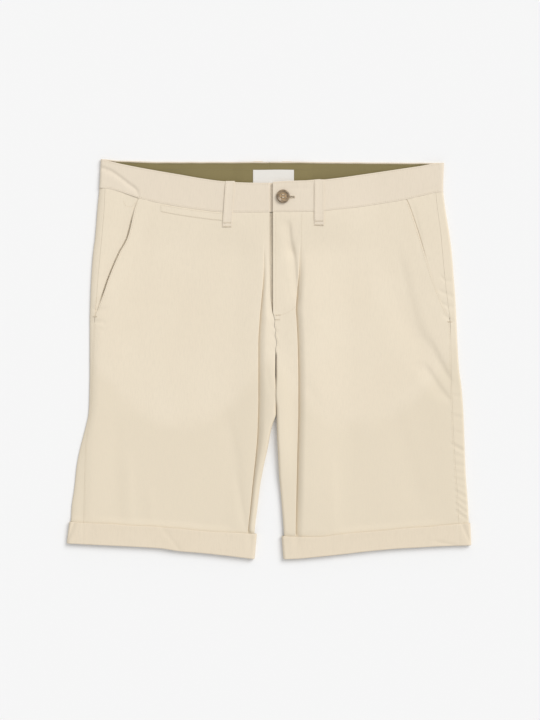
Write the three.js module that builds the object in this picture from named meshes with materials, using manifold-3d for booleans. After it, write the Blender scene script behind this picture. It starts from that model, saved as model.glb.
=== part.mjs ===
// Bermuda shorts with turned-up cuffs, buttoned and laid flat on their back.
//
// Millimetres. X runs towards the wearer's left, Y towards the waist, Z up from the surface they lie on.
// Pieces are named for the wearer's own sides. Each cloth piece is a wall of even thickness about a
// middle surface, whose height is a function of the place in plan, so that neighbours follow each other.

import * as THREE from "three";
import { mergeVertices } from "three/addons/utils/BufferGeometryUtils.js";
import Module from "manifold-3d";

const wasm = await Module();
wasm.setup();

// ---------- walls and gaps ----------
const CLOTH = 1.2;          // twill of the legs, cuffs, pockets and loops
const BAND = 1.4;           // waistband, which is interlined
const TAPE = 1.0;           // inner facing, label and coin pocket welt
const SEAM = 0.3;           // gap between neighbours along a seam
const WAIST_SEAM = 0.5;     // how far the panels stop short of the waistband's seam line
const LAP = 0.5;            // air between a piece and the one it lies on

// ---------- heights of middle surfaces above the surface ----------
const BACK_LEVEL = CLOTH / 2;       // the back rests on the surface
const PANEL_LEVEL = 3.8;            // slack middle of a front
const SIDE_LEVEL = 5.2;             // front beside the side fold
const WAIST_LEVEL = 5.4;            // front waistband
const FLY_LEVEL = 5.8;              // front over the fly's layers, and the puffed inner legs
const VALLEY_LEVEL = 2.5;           // bottom of the long folds
const RIDGE_LEVEL = 6.2;            // crest beside the left leg's long fold
const CENTRE_RISE = 1.6;            // waist lifted by the back loops
const TAB_RISE = 1.9;               // left tab lifted by the underlap
const CUFF_BACK_LEVEL = 2.4;        // back of the leg inside the cuff
const CUFF_FRONT_LEVEL = 4.8;       // front of the leg inside the cuff
const CUFF_TOP = 7.2;               // outer face of the cuff's front

// ---------- pieces ----------
const FOLD_ROUND = 3.2;             // how far in the round of a side or inner fold reaches
const CUFF_ROUND = 3.6;
const CUFF_RETURN = 9;              // height of the turn inside the cuff
const LOOP_WIDTH = 12.5;
const BUTTON = { x: 18.9, y: 218.7, radius: 9, thickness: 3.2, hole: 1.0, spread: 1.75, lift: 0.85 };
const BUTTONHOLE = { from: 17.2, to: 34.4, y: 217.6, width: 2.9 };
const SHANK_RADIUS = 1.0;
const THREAD_RADIUS = 0.6;
const LABEL = { left: -21.5, right: 33.6, bottom: 235, top: 255 };
const UNDERLAP_END = 69;
const FLY_END = 62;                 // lowest point of the fly's opening
const CROTCH = -45;                 // the legs part below this height
const INSEAM_SPLIT = 0.8;           // front and back edges, each from the middle of the inner fold

// ---------- outline tables ----------
// One row per level down a side, each value an x: the outer fold, the side seam on the top face, the
// pocket's opening (where it has closed, the front's own edge), the long fold, and the inner edges of
// the front and of the back.
const LEVELS = {
  right: [
    { y: 270, edge: -226.8, seam: -220.0, opening: -168.0, fold: -6.0, front: 1.8, back: -0.15 },
    { y: 229, edge: -228.9, seam: -221.0, opening: -171.0, fold: -6.0, front: 1.8, back: -0.15 },
    { y: 206, edge: -231.1, seam: -221.9, opening: -179.6, fold: -6.2, front: 1.8, back: 0.3 },
    { y: 163, edge: -234.6, seam: -225.3, opening: -190.4, fold: -6.5, front: 1.8, back: 1.5 },
    { y: 143, edge: -237.2, seam: -227.2, opening: -201.0, fold: -6.8, front: 1.8, back: 2.5 },
    { y: 111, edge: -239.6, seam: -230.2, opening: -214.7, fold: -7.4, front: 1.8, back: 3.5 },
    { y: 84, edge: -240.8, seam: -232.4, opening: -224.0, fold: -9.0, front: 1.8, back: 5.0 },
    { y: 64, edge: -241.4, seam: -234.4, opening: -231.6, fold: -10.8, front: 1.8, back: 6.0 },
    { y: 55, edge: -241.7, seam: -235.0, opening: -234.6, fold: -11.5, front: 6.9, back: 6.9 },
    { y: 19, edge: -241.7, seam: -237.2, opening: -236.9, fold: -13.5, front: 9.1, back: 9.1 },
    { y: -15, edge: -241.7, seam: -238.4, opening: -238.1, fold: -13.5, front: 9.0, back: 9.0 },
    { y: -55, edge: -242.4, seam: -239.6, opening: -239.3, fold: -13.5, front: 9.6, back: 9.6 },
    { y: -73, edge: -243.9, seam: -241.0, opening: -240.7, fold: -13.9, front: 9.8, back: 9.8 },
    { y: -89, edge: -248.4, seam: -244.4, opening: -244.1, fold: -14.3, front: 4.6, back: 4.6 },
    { y: -103, edge: -251.2, seam: -246.4, opening: -246.1, fold: -14.8, front: 1.4, back: 1.4 },
    { y: -119, edge: -254.4, seam: -247.3, opening: -247.0, fold: -16.0, front: -1.4, back: -1.4 },
    { y: -143, edge: -259.2, seam: -248.2, opening: -247.9, fold: -18.4, front: -6.8, back: -6.8 },
    { y: -173, edge: -262.4, seam: -249.0, opening: -248.7, fold: -21.6, front: -12.2, back: -12.2 },
    { y: -204, edge: -266.6, seam: -249.6, opening: -249.3, fold: -24.6, front: -16.0, back: -16.0 },
    { y: -222, edge: -267.0, seam: -249.9, opening: -249.6, fold: -26.6, front: -18.4, back: -18.4 },
    { y: -262, edge: -269.4, seam: -250.3, opening: -250.0, fold: -30.0, front: -21.6, back: -21.6 },
  ],
  left: [
    { y: 270, edge: 236.3, seam: 224.0, opening: 178.0, fold: 42.0, front: 5.4, back: 0.15 },
    { y: 229, edge: 234.9, seam: 224.5, opening: 180.0, fold: 42.0, front: 5.4, back: 0.15 },
    { y: 206, edge: 237.2, seam: 226.5, opening: 189.0, fold: 42.0, front: 5.4, back: 0.6 },
    { y: 171, edge: 242.8, seam: 231.3, opening: 201.0, fold: 42.0, front: 5.4, back: 1.6 },
    { y: 143, edge: 246.4, seam: 233.8, opening: 209.6, fold: 41.5, front: 5.4, back: 2.8 },
    { y: 111, edge: 249.0, seam: 236.8, opening: 219.5, fold: 40.0, front: 5.4, back: 3.8 },
    { y: 84, edge: 251.1, seam: 239.9, opening: 229.5, fold: 38.0, front: 5.4, back: 5.3 },
    { y: 64, edge: 252.2, seam: 242.6, opening: 238.0, fold: 37.0, front: 5.4, back: 6.3 },
    { y: 55, edge: 252.6, seam: 243.7, opening: 243.2, fold: 37.8, front: 7.3, back: 7.3 },
    { y: 19, edge: 254.2, seam: 245.0, opening: 244.7, fold: 39.5, front: 9.5, back: 9.5 },
    { y: -15, edge: 256.4, seam: 245.5, opening: 245.2, fold: 40.2, front: 9.4, back: 9.4 },
    { y: -35, edge: 259.2, seam: 245.9, opening: 245.6, fold: 40.4, front: 9.6, back: 9.6 },
    { y: -69, edge: 261.9, seam: 247.2, opening: 246.9, fold: 40.4, front: 10.1, back: 10.1 },
    { y: -103, edge: 263.3, seam: 248.6, opening: 248.3, fold: 39.6, front: 10.8, back: 10.8 },
    { y: -130, edge: 264.2, seam: 250.3, opening: 250.0, fold: 38.9, front: 12.2, back: 12.2 },
    { y: -157, edge: 265.3, seam: 252.0, opening: 251.7, fold: 38.3, front: 13.5, back: 13.5 },
    { y: -177, edge: 266.8, seam: 253.5, opening: 253.2, fold: 37.9, front: 15.5, back: 15.5 },
    { y: -204, edge: 268.6, seam: 254.8, opening: 254.5, fold: 37.3, front: 17.8, back: 17.8 },
    { y: -222, edge: 269.4, seam: 255.5, opening: 255.2, fold: 36.9, front: 19.2, back: 19.2 },
    { y: -262, edge: 270.2, seam: 256.0, opening: 255.7, fold: 36.5, front: 21.6, back: 21.6 },
  ],
};

// One row per place along the waist, each value a y: the front waistband's top edge and seam, and the
// back waistband's top edge and seam.
const WAIST = {
  right: [
    { x: -228, front: 270.0, seam: 230.6, back: 270.0, backSeam: 230.6 },
    { x: -215, front: 266.6, seam: 229.3, back: 268.6, backSeam: 229.6 },
    { x: -201, front: 263.3, seam: 225.5, back: 267.6, backSeam: 228.8 },
    { x: -175, front: 258.0, seam: 216.7, back: 266.8, backSeam: 228.0 },
    { x: -147, front: 253.0, seam: 210.0, back: 266.0, backSeam: 227.0 },
    { x: -120, front: 248.4, seam: 205.0, back: 266.0, backSeam: 226.5 },
    { x: -93, front: 243.7, seam: 201.0, back: 266.0, backSeam: 226.0 },
    { x: -63, front: 239.6, seam: 197.9, back: 266.0, backSeam: 226.0 },
    { x: -26, front: 237.4, seam: 197.4, back: 266.0, backSeam: 226.0 },
    { x: 4, front: 237.2, seam: 197.8, back: 266.0, backSeam: 226.0 },
    { x: UNDERLAP_END, front: 242.2, seam: 200.0, back: 266.0, backSeam: 226.0 },
  ],
  left: [
    { x: 0, front: 238.0, seam: 197.8, back: 266.0, backSeam: 226.0 },
    { x: 32, front: 239.8, seam: 198.1, back: 266.0, backSeam: 226.0 },
    { x: 65, front: 240.7, seam: 198.6, back: 265.8, backSeam: 225.8 },
    { x: 96, front: 244.0, seam: 201.8, back: 265.5, backSeam: 225.5 },
    { x: 123, front: 248.0, seam: 204.8, back: 265.3, backSeam: 225.3 },
    { x: 150, front: 252.0, seam: 209.0, back: 265.0, backSeam: 225.0 },
    { x: 177, front: 256.0, seam: 213.4, back: 264.8, backSeam: 224.8 },
    { x: 204, front: 260.0, seam: 219.4, back: 264.7, backSeam: 224.9 },
    { x: 225, front: 263.6, seam: 224.2, back: 264.6, backSeam: 225.2 },
    { x: 237, front: 264.6, seam: 225.5, back: 264.6, backSeam: 225.5 },
  ],
};

// One row per place along a hem, each value a y: the cuff's lower fold and its upper edge.
const HEM = {
  right: [
    { x: -273, fold: -248.4, cuff: -218.8 },
    { x: -242, fold: -250.0, cuff: -220.6 },
    { x: -201, fold: -252.0, cuff: -223.0 },
    { x: -147, fold: -255.0, cuff: -226.3 },
    { x: -120, fold: -259.0, cuff: -228.0 },
    { x: -93, fold: -261.2, cuff: -231.0 },
    { x: -66, fold: -264.0, cuff: -233.0 },
    { x: -39, fold: -267.2, cuff: -234.3 },
    { x: -17, fold: -270.0, cuff: -235.2 },
  ],
  left: [
    { x: 17, fold: -270.0, cuff: -238.5 },
    { x: 42, fold: -268.8, cuff: -239.0 },
    { x: 69, fold: -266.2, cuff: -239.4 },
    { x: 96, fold: -263.5, cuff: -236.2 },
    { x: 123, fold: -260.2, cuff: -233.5 },
    { x: 150, fold: -257.4, cuff: -231.0 },
    { x: 177, fold: -255.2, cuff: -228.6 },
    { x: 204, fold: -253.8, cuff: -226.4 },
    { x: 231, fold: -252.2, cuff: -224.2 },
    { x: 273, fold: -251.0, cuff: -221.0 },
  ],
};

// The cuffs' own outline: x of the outer and inner folds at the upper edge and at the lower fold.
const CUFF_OUTLINE = {
  right: { outerTop: -269.0, outerFold: -272.7, innerTop: -16.3, innerFold: -19.4 },
  left: { outerTop: 271.4, outerFold: 272.7, innerTop: 17.0, innerFold: 19.4 },
};

// Soft hollows across the fronts: from one end to the other, how deep and how wide each way.
const HOLLOWS = [
  { side: "right", x1: -194, y1: -70, x2: -196, y2: -215, depth: 0.8, width: 22 },
  { side: "right", x1: -62, y1: -60, x2: -36, y2: -225, depth: 0.7, width: 16 },
  { side: "right", x1: -150, y1: 150, x2: -120, y2: 30, depth: 0.5, width: 34 },
  { side: "left", x1: 172, y1: 160, x2: 238, y2: -20, depth: 0.9, width: 20 },
  { side: "left", x1: 120, y1: 120, x2: 140, y2: 0, depth: 0.5, width: 36 },
  { side: "left", x1: 150, y1: -70, x2: 165, y2: -210, depth: 0.6, width: 30 },
];

// ---------- colours ----------
const SAND = { color: 0xead9c2, roughness: 0.85 };
const SAND_BAND = { color: 0xe6d8c4, roughness: 0.85 };
const OLIVE = { color: 0x8a7e59, roughness: 0.9 };
const WHITE = { color: 0xe9e5dc, roughness: 0.7 };
const HORN = { color: 0x887a63, roughness: 0.35 };
const THREAD = { color: 0xb59a72, roughness: 0.8 };

// ---------- small mathematics ----------
const clamp01 = (value) => Math.min(1, Math.max(0, value));
const lerp = (from, to, t) => from + (to - from) * t;
const smooth = (from, to, value) => {
  const t = clamp01((value - from) / (to - from));
  return t * t * (3 - 2 * t);
};
const plateau = (value, start, full, fullEnd, end) => (
  smooth(start, full, value) * (1 - smooth(fullEnd, end, value))
);

// A smooth curve through a table's rows that never swings past them.
function curve(rows, input, output) {
  const sorted = [...rows].sort((a, b) => a[input] - b[input]);
  const xs = sorted.map((row) => row[input]);
  const ys = sorted.map((row) => row[output]);
  const rise = xs.slice(1).map((x, i) => (ys[i + 1] - ys[i]) / (x - xs[i]));
  const slope = xs.map((_, i) => {
    if (i === 0) return rise[0];
    if (i === xs.length - 1) return rise[i - 1];
    const product = rise[i - 1] * rise[i];
    return product <= 0 ? 0 : (2 * product) / (rise[i - 1] + rise[i]);
  });
  return (value) => {
    const v = Math.min(xs[xs.length - 1], Math.max(xs[0], value));
    let i = 0;
    while (i < xs.length - 2 && v > xs[i + 1]) i += 1;
    const span = xs[i + 1] - xs[i];
    const t = (v - xs[i]) / span;
    const t2 = t * t;
    const t3 = t2 * t;
    return (2 * t3 - 3 * t2 + 1) * ys[i] + (t3 - 2 * t2 + t) * span * slope[i]
      + (3 * t2 - 2 * t3) * ys[i + 1] + (t3 - t2) * span * slope[i + 1];
  };
}

function curvesOf(tables, input) {
  return Object.fromEntries(Object.entries(tables).map(([side, rows]) => {
    const names = Object.keys(rows[0]).filter((name) => name !== input);
    return [side, Object.fromEntries(names.map((name) => [name, curve(rows, input, name)]))];
  }));
}

const level = curvesOf(LEVELS, "y");
const waist = curvesOf(WAIST, "x");
const hem = curvesOf(HEM, "x");
const outward = { right: -1, left: 1 };

// ---------- heights of the cloth ----------
const centreRise = (x) => CENTRE_RISE * plateau(x, -54, -32, 74, 100);
const backRise = (x, y) => CENTRE_RISE * plateau(x, -52, -32, 40, 60) * smooth(190, 207, y);
const waistLevel = (side, x) => (
  WAIST_LEVEL + centreRise(x) + (side === "left" ? TAB_RISE * (1 - smooth(74, 98, x)) : 0)
);

// How far a place is inside the cuff: 0 above it, 1 from its upper edge down.
const inCuff = (side, x, y) => 1 - smooth(1, 20, y - hem[side].cuff(x));

function hollows(side, x, y) {
  return HOLLOWS.filter((row) => row.side === side).reduce((sum, row) => {
    const along = (y - row.y1) / (row.y2 - row.y1);
    const away = (x - lerp(row.x1, row.x2, along)) / row.width;
    return sum + row.depth * Math.exp(-away * away) * plateau(along, -0.15, 0.2, 0.8, 1.15);
  }, 0);
}

// The fold beside the wearer's right inner leg: flat cloth sinks to it and a puffed strip stands inside.
function rightBody(x, y) {
  const at = level.right.fold(y);
  const inner = level.right.front(y);
  const plain = lerp(PANEL_LEVEL, FLY_LEVEL, smooth(-44, -6, x));
  const outside = lerp(PANEL_LEVEL, VALLEY_LEVEL, smooth(-26, 0, x - at));
  const inside = lerp(VALLEY_LEVEL, FLY_LEVEL, smooth(0, 0.5, (x - at) / (inner - at)));
  const folded = x < at ? outside : inside;
  return lerp(plain, folded, smooth(150, 100, y));
}

// The fold down the middle of the wearer's left inner leg: a slow fall to it and a steep crest beyond.
function leftBody(x, y) {
  const away = x - level.left.fold(y);
  const strip = lerp(FLY_LEVEL - 0.6, FLY_LEVEL, smooth(10, 60, y));
  const fall = lerp(24, 13, smooth(20, 70, y));
  const plain = lerp(strip, PANEL_LEVEL, smooth(24, 90, x));
  const before = lerp(strip, VALLEY_LEVEL, smooth(-fall, 0, away));
  const beyond = lerp(RIDGE_LEVEL, PANEL_LEVEL, smooth(9, 58, away));
  const folded = away < 0 ? before : lerp(VALLEY_LEVEL, beyond, smooth(0, 9, away));
  return lerp(plain, folded, smooth(150, 90, y));
}

// Middle surface of a front before its edges are rounded down.
function frontLevel(side, x, y) {
  const fromEdge = Math.abs(level[side].edge(y) - x);
  const body = (side === "right" ? rightBody(x, y) : leftBody(x, y)) - hollows(side, x, y);
  const sided = Math.max(body, VALLEY_LEVEL) + (SIDE_LEVEL - PANEL_LEVEL) * (1 - smooth(6, 70, fromEdge));
  const drop = smooth(2, 62, waist[side].seam(x) - y);
  const worn = lerp(waistLevel(side, x), sided, drop);
  return lerp(worn, CUFF_FRONT_LEVEL, inCuff(side, x, y));
}

// Middle surface of a back where it lies below the front.
function backLevel(side, x, y) {
  return lerp(BACK_LEVEL + backRise(x, y), CUFF_BACK_LEVEL, inCuff(side, x, y));
}

// Share of the height kept this far in from a fold: 0 at the fold, 1 where its round ends.
const roundShare = (inset, round) => {
  const t = 1 - clamp01(inset / round);
  return Math.sqrt(1 - t * t);
};

// Top and under face of a leg, rounded together at the outer fold and, below the crotch, at the inner.
function legPoint(side, face, x, y, share = null) {
  const high = frontLevel(side, x, y);
  const low = backLevel(side, x, y);
  const middle = (high + low) / 2;
  const half = (high - low) / 2;
  const foldX = level[side].edge(y) - outward[side] * CLOTH / 2;
  const parted = smooth(CROTCH, CROTCH - 25, y);
  const innerX = level[side].front(y) + outward[side] * parted * CLOTH / 2;
  const outerShare = roundShare(Math.abs(foldX - x), FOLD_ROUND);
  const innerShare = lerp(1, roundShare(Math.abs(x - innerX), FOLD_ROUND), parted);
  const kept = share ?? Math.min(outerShare, innerShare);
  const split = INSEAM_SPLIT * (1 - innerShare);
  const z = face === "top" ? middle + half * kept + split : middle - half * kept - split;
  return new THREE.Vector3(x, y, z);
}

// ---------- solids from grids ----------
// A grid's rows run along the cloth and its columns across. The wall is half above and half below it.
function shell(grid, wall) {
  const rows = grid.length;
  const columns = grid[0].length;
  const normals = grid.map((row, i) => row.map((_, j) => {
    const after = grid[Math.min(i + 1, rows - 1)][j];
    const before = grid[Math.max(i - 1, 0)][j];
    const along = new THREE.Vector3().subVectors(after, before);
    const across = new THREE.Vector3().subVectors(row[Math.min(j + 1, columns - 1)], row[Math.max(j - 1, 0)]);
    return across.cross(along).normalize();
  }));
  const positions = [];
  for (const side of [wall / 2, -wall / 2]) {
    grid.forEach((row, i) => row.forEach((point, j) => {
      positions.push(...point.clone().addScaledVector(normals[i][j], side).toArray());
    }));
  }
  const upper = (i, j) => i * columns + j;
  const lower = (i, j) => rows * columns + i * columns + j;
  const index = [];
  const quad = (a, b, c, d) => index.push(a, b, c, a, c, d);
  for (let i = 0; i < rows - 1; i += 1) {
    for (let j = 0; j < columns - 1; j += 1) {
      quad(upper(i, j), upper(i, j + 1), upper(i + 1, j + 1), upper(i + 1, j));
      quad(lower(i, j), lower(i + 1, j), lower(i + 1, j + 1), lower(i, j + 1));
    }
  }
  for (let i = 0; i < rows - 1; i += 1) {
    quad(upper(i, 0), upper(i + 1, 0), lower(i + 1, 0), lower(i, 0));
    quad(upper(i + 1, columns - 1), upper(i, columns - 1), lower(i, columns - 1), lower(i + 1, columns - 1));
  }
  for (let j = 0; j < columns - 1; j += 1) {
    quad(upper(0, j + 1), upper(0, j), lower(0, j), lower(0, j + 1));
    quad(upper(rows - 1, j), upper(rows - 1, j + 1), lower(rows - 1, j + 1), lower(rows - 1, j));
  }
  return solidFrom(positions, index);
}

// A closed outline swept round a closed ring of stations.
function ring(stations) {
  const count = stations.length;
  const corners = stations[0].length;
  const positions = stations.flatMap((points) => points.flatMap((point) => point.toArray()));
  const index = [];
  for (let i = 0; i < count; i += 1) {
    for (let j = 0; j < corners; j += 1) {
      const a = i * corners + j;
      const b = i * corners + (j + 1) % corners;
      const c = ((i + 1) % count) * corners + (j + 1) % corners;
      const d = ((i + 1) % count) * corners + j;
      index.push(a, b, c, a, c, d);
    }
  }
  return solidFrom(positions, index);
}

function signedVolume(positions, index) {
  const corner = (k) => new THREE.Vector3().fromArray(positions, 3 * index[k]);
  let sum = 0;
  for (let k = 0; k < index.length; k += 3) {
    sum += corner(k).dot(corner(k + 1).cross(corner(k + 2)));
  }
  return sum;
}

// The faces are turned over together where the table's order leaves them pointing in.
function solidFrom(positions, index) {
  const facing = signedVolume(positions, index) > 0
    ? index
    : index.map((_, k) => index[k - (k % 3) + [0, 2, 1][k % 3]]);
  const geometry = new THREE.BufferGeometry();
  geometry.setAttribute("position", new THREE.Float32BufferAttribute(positions, 3));
  geometry.setIndex(facing);
  return geometry;
}

function toManifold(geometry) {
  const bare = geometry.clone();
  bare.deleteAttribute("normal");
  bare.deleteAttribute("uv");
  const merged = mergeVertices(bare, 1e-4);
  return new wasm.Manifold(new wasm.Mesh({
    numProp: 3,
    vertProperties: new Float32Array(merged.attributes.position.array),
    triVerts: new Uint32Array(merged.index.array),
  }));
}

function fromManifold(solid) {
  const mesh = solid.getMesh();
  const geometry = new THREE.BufferGeometry();
  geometry.setAttribute("position", new THREE.BufferAttribute(mesh.vertProperties, 3));
  geometry.setIndex(new THREE.BufferAttribute(mesh.triVerts, 1));
  return geometry;
}

const cylinder = (radius, from, to, x, y, sides) => (
  new THREE.CylinderGeometry(radius, radius, to - from, sides)
    .rotateX(Math.PI / 2)
    .translate(x, y, (from + to) / 2)
);

// ---------- the group ----------
const shorts = new THREE.Group();
function add(name, geometry, look) {
  const material = new THREE.MeshStandardMaterial({ metalness: 0, ...look });
  const mesh = new THREE.Mesh(geometry, material);
  mesh.name = name;
  shorts.add(mesh);
}

// Steps between two numbers, closer together towards the ends that ask for it.
const steps = (count) => Array.from({ length: count + 1 }, (_, i) => i / count);
const roundInsets = (count, round) => (
  steps(count).map((t) => round * (1 - Math.cos(t * Math.PI / 2)))
);

// A grid point's y lies this share of the way from the upper to the lower edge at its own x.
function placed(columnX, upperY, lowerY, t) {
  let y = lerp(upperY(columnX(0)), lowerY(columnX(0)), t);
  for (let pass = 0; pass < 4; pass += 1) {
    y = lerp(upperY(columnX(y)), lowerY(columnX(y)), t);
  }
  return { x: columnX(y), y };
}

// ---------- fronts ----------
const FRONT_ROWS = [0, 0.03, 0.08, 0.14, 0.2, 0.25, 0.3, 0.335, 0.39, 0.45, 0.52, 0.58, 0.62, 0.67,
  0.73, 0.79, 0.85, 0.9, 0.935, 0.96, 1];
const panelEnd = (side) => (x) => hem[side].fold(x) + CUFF_RETURN + SEAM + 0.4;

// Columns of a front as functions of y, from the inner edge out.
function frontColumns(side) {
  const { front, fold, opening } = level[side];
  const sign = outward[side];
  const parted = (y) => smooth(CROTCH, CROTCH - 25, y);
  const inner = (y) => front(y) + sign * (SEAM / 2 + parted(y) * (CLOTH / 2 - SEAM / 2));
  const outer = (y) => opening(y) - sign * SEAM / 2;
  const fractions = side === "right" ? [0.3, 0.52, 0.8, 1] : [0.14, 0.4, 0.62, 0.82, 1];
  const beyond = side === "right" ? [5, 13, 26] : [3.5, 8, 14, 26, 44];
  const last = beyond[beyond.length - 1];
  const wide = side === "right" ? 8 : 7;
  return [
    ...[0, 0.35, 1.2].map((inset) => (y) => inner(y) + sign * inset),
    ...fractions.map((share) => (y) => lerp(inner(y), fold(y), share)),
    ...beyond.map((distance) => (y) => fold(y) + sign * distance),
    ...steps(wide).slice(1).map((share) => (y) => lerp(fold(y) + sign * last, outer(y), share)),
  ];
}

// The pocket's free edge stands a little off the facing below it.
const gape = (side, x, y) => smooth(26, 0, Math.abs(level[side].opening(y) - x)) * smooth(60, 90, y);

function front(side) {
  const upper = (x) => waist[side].seam(x) - WAIST_SEAM;
  const columns = frontColumns(side);
  const grid = FRONT_ROWS.map((t) => columns.map((column) => {
    const { x, y } = placed(column, upper, panelEnd(side), t);
    const point = legPoint(side, "top", x, y);
    point.z += gape(side, x, y);
    return point;
  }));
  return shell(grid, CLOTH);
}

// ---------- backs ----------
// A back starts at its inner edge, lies on the surface, rounds up at the outer fold and comes back on
// the top face as far as the side seam.
const BACK_ROWS = [0, 0.03, 0.08, 0.16, 0.26, 0.36, 0.46, 0.54, 0.6, 0.66, 0.73, 0.8, 0.87, 0.93,
  0.96, 1];

function backColumns(side) {
  const { back, edge, seam } = level[side];
  const sign = outward[side];
  const fold = (y) => edge(y) - sign * CLOTH / 2;
  const parted = (y) => smooth(CROTCH, CROTCH - 25, y);
  const inner = (y) => back(y) + sign * (SEAM / 2 + parted(y) * (CLOTH / 2 - SEAM / 2));
  const rounded = roundInsets(3, FOLD_ROUND);
  const flatEnd = (y) => fold(y) - sign * FOLD_ROUND;
  const stripEnd = (y) => seam(y) + sign * SEAM / 2;
  const topRound = (inset) => (y) => fold(y) - sign * Math.min(inset, Math.abs(fold(y) - stripEnd(y)) * 0.9);
  return [
    ...[0, 0.35, 1.2, FOLD_ROUND].map((inset) => ({ face: "under", x: (y) => inner(y) + sign * inset })),
    ...[0.12, 0.28, 0.46, 0.64, 0.82, 1].map((share) => ({
      face: "under",
      x: (y) => lerp(inner(y) + sign * FOLD_ROUND, flatEnd(y), share),
    })),
    ...[2, 1].map((i) => ({ face: "under", x: (y) => fold(y) - sign * rounded[i] })),
    { face: "under", x: fold },
    ...[1, 2].map((i) => ({ face: "top", x: topRound(rounded[i]) })),
    { face: "top", x: (y) => lerp(topRound(rounded[3])(y), stripEnd(y), 0.35) },
    { face: "top", x: stripEnd },
  ];
}

function back(side) {
  const { seam, backSeam } = waist[side];
  const upper = { top: (x) => seam(x) - WAIST_SEAM, under: (x) => backSeam(x) - WAIST_SEAM };
  const grid = BACK_ROWS.map((t) => backColumns(side).map((column) => {
    const { x, y } = placed(column.x, upper[column.face], panelEnd(side), t);
    return legPoint(side, column.face, x, y);
  }));
  return shell(grid, CLOTH);
}

// ---------- pocket facings ----------
// A facing is flush with the back's strip at the side seam and passes under the front's free edge.
const FACING_UNDER = 16;
const FACING_END = 60;

function pocketFacing(side) {
  const { seam, opening } = level[side];
  const sign = outward[side];
  const upper = (x) => waist[side].seam(x) - WAIST_SEAM;
  const start = (y) => seam(y) - sign * 1.5 * SEAM;
  const end = (y) => opening(y) - sign * FACING_UNDER;
  const sunk = CLOTH + LAP + 0.2;
  const lowest = 1.5 * CLOTH + LAP;
  const grid = steps(8).map((t) => [0, 0.14, 0.35, 0.6, 0.8, 1].map((share) => {
    const column = (y) => lerp(start(y), end(y), share);
    const { x, y } = placed(column, upper, () => FACING_END, t);
    const reach = Math.abs(opening(y) - start(y));
    const across = smooth(0, Math.max(4, reach * 0.85), Math.abs(x - start(y)));
    const point = legPoint(side, "top", x, y);
    point.z = Math.max(lowest, point.z - sunk * Math.max(across, smooth(96, 78, y)));
    return point;
  }));
  return shell(grid, CLOTH);
}

// ---------- fly shield ----------
const SHIELD = { from: -1.6, topTo: 30, lowTo: 15, sunk: 2.1 };

function flyShield() {
  const grid = steps(7).map((t) => steps(4).map((share) => {
    const y = lerp(194, FLY_END + 6, t);
    const x = lerp(SHIELD.from, lerp(SHIELD.topTo, SHIELD.lowTo, t), share);
    return new THREE.Vector3(x, y, frontLevel("right", 1.8, y) - SHIELD.sunk);
  }));
  return shell(grid, CLOTH);
}

// ---------- waistband ----------
// Each half runs from the centre front round the outer fold to the centre back, in one piece.
const BAND_FRONT = {
  right: [UNDERLAP_END, 50, 34, 17, 4, -8, -28, -50, -75, -100, -125, -150, -175, -200, -216],
  left: [4.6, 17, 34, 54, 74, 86, 98, 120, 142, 164, 186, 206, 222],
};
const BAND_BACK = [204, 160, 110, 72, 58, 44, 32, 12];
const bandLow = (x) => BAND / 2 + backRise(x, 240);

function bandPoint(side, face, x, t) {
  const rows = waist[side];
  const [seam, top] = face === "top" ? [rows.seam(x), rows.front(x)] : [rows.backSeam(x), rows.back(x)];
  const y = lerp(seam + SEAM / 2, top, t);
  const high = waistLevel(side, x);
  const low = bandLow(x);
  const foldX = level[side].edge(y) - outward[side] * BAND / 2;
  const kept = roundShare(Math.abs(foldX - x), FOLD_ROUND);
  const z = (high + low) / 2 + (face === "top" ? 1 : -1) * kept * (high - low) / 2;
  return new THREE.Vector3(x, y, z);
}

function waistband(side) {
  const sign = outward[side];
  const rounded = roundInsets(3, FOLD_ROUND);
  const grid = [0, 0.3, 0.7, 1].map((t) => {
    const y = lerp(waist[side].seam(sign * 230), waist[side].front(sign * 230), t);
    const fold = level[side].edge(y) - sign * BAND / 2;
    return [
      ...BAND_FRONT[side].map((x) => bandPoint(side, "top", x, t)),
      ...[3, 2, 1].map((i) => bandPoint(side, "top", fold - sign * rounded[i], t)),
      bandPoint(side, "under", fold, t),
      ...[1, 2, 3].map((i) => bandPoint(side, "under", fold - sign * rounded[i], t)),
      ...BAND_BACK.map((x) => bandPoint(side, "under", sign * x, t)),
      bandPoint(side, "under", sign * SEAM / 2, t),
    ];
  });
  return shell(grid, BAND);
}

// The buttonhole is a slot with round ends, along the band.
function buttonhole() {
  const { from, to, y, width } = BUTTONHOLE;
  const radius = width / 2;
  const outline = new THREE.Shape();
  outline.absarc(from, y, radius, Math.PI / 2, Math.PI * 1.5, false);
  outline.absarc(to - radius, y, radius, -Math.PI / 2, Math.PI / 2, false);
  return new THREE.ExtrudeGeometry(outline, { depth: 12, bevelEnabled: false, curveSegments: 5 });
}

// ---------- waistband facing and label ----------
const FACING = { rightEnd: -206, leftEnd: 216, height: 36, edge: 1.3 };
const facingLevel = (x) => bandLow(x) + BAND / 2 + SEAM + TAPE / 2;

function waistbandFacing(side) {
  const sign = outward[side];
  const end = side === "right" ? FACING.rightEnd : FACING.leftEnd;
  const columns = [sign * SEAM / 2, ...[...BAND_BACK].reverse().slice(0, 7).map((x) => sign * x), end];
  const grid = [0, 0.5, 1].map((t) => columns.map((x) => {
    const top = waist[side].back(x) - FACING.edge;
    return new THREE.Vector3(x, top - FACING.height * t, facingLevel(x));
  }));
  return shell(grid, TAPE);
}

function label() {
  const grid = steps(3).map((t) => steps(6).map((share) => {
    const x = lerp(LABEL.left, LABEL.right, share);
    return new THREE.Vector3(x, lerp(LABEL.bottom, LABEL.top, t), facingLevel(6) + TAPE + SEAM);
  }));
  return shell(grid, TAPE);
}

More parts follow.
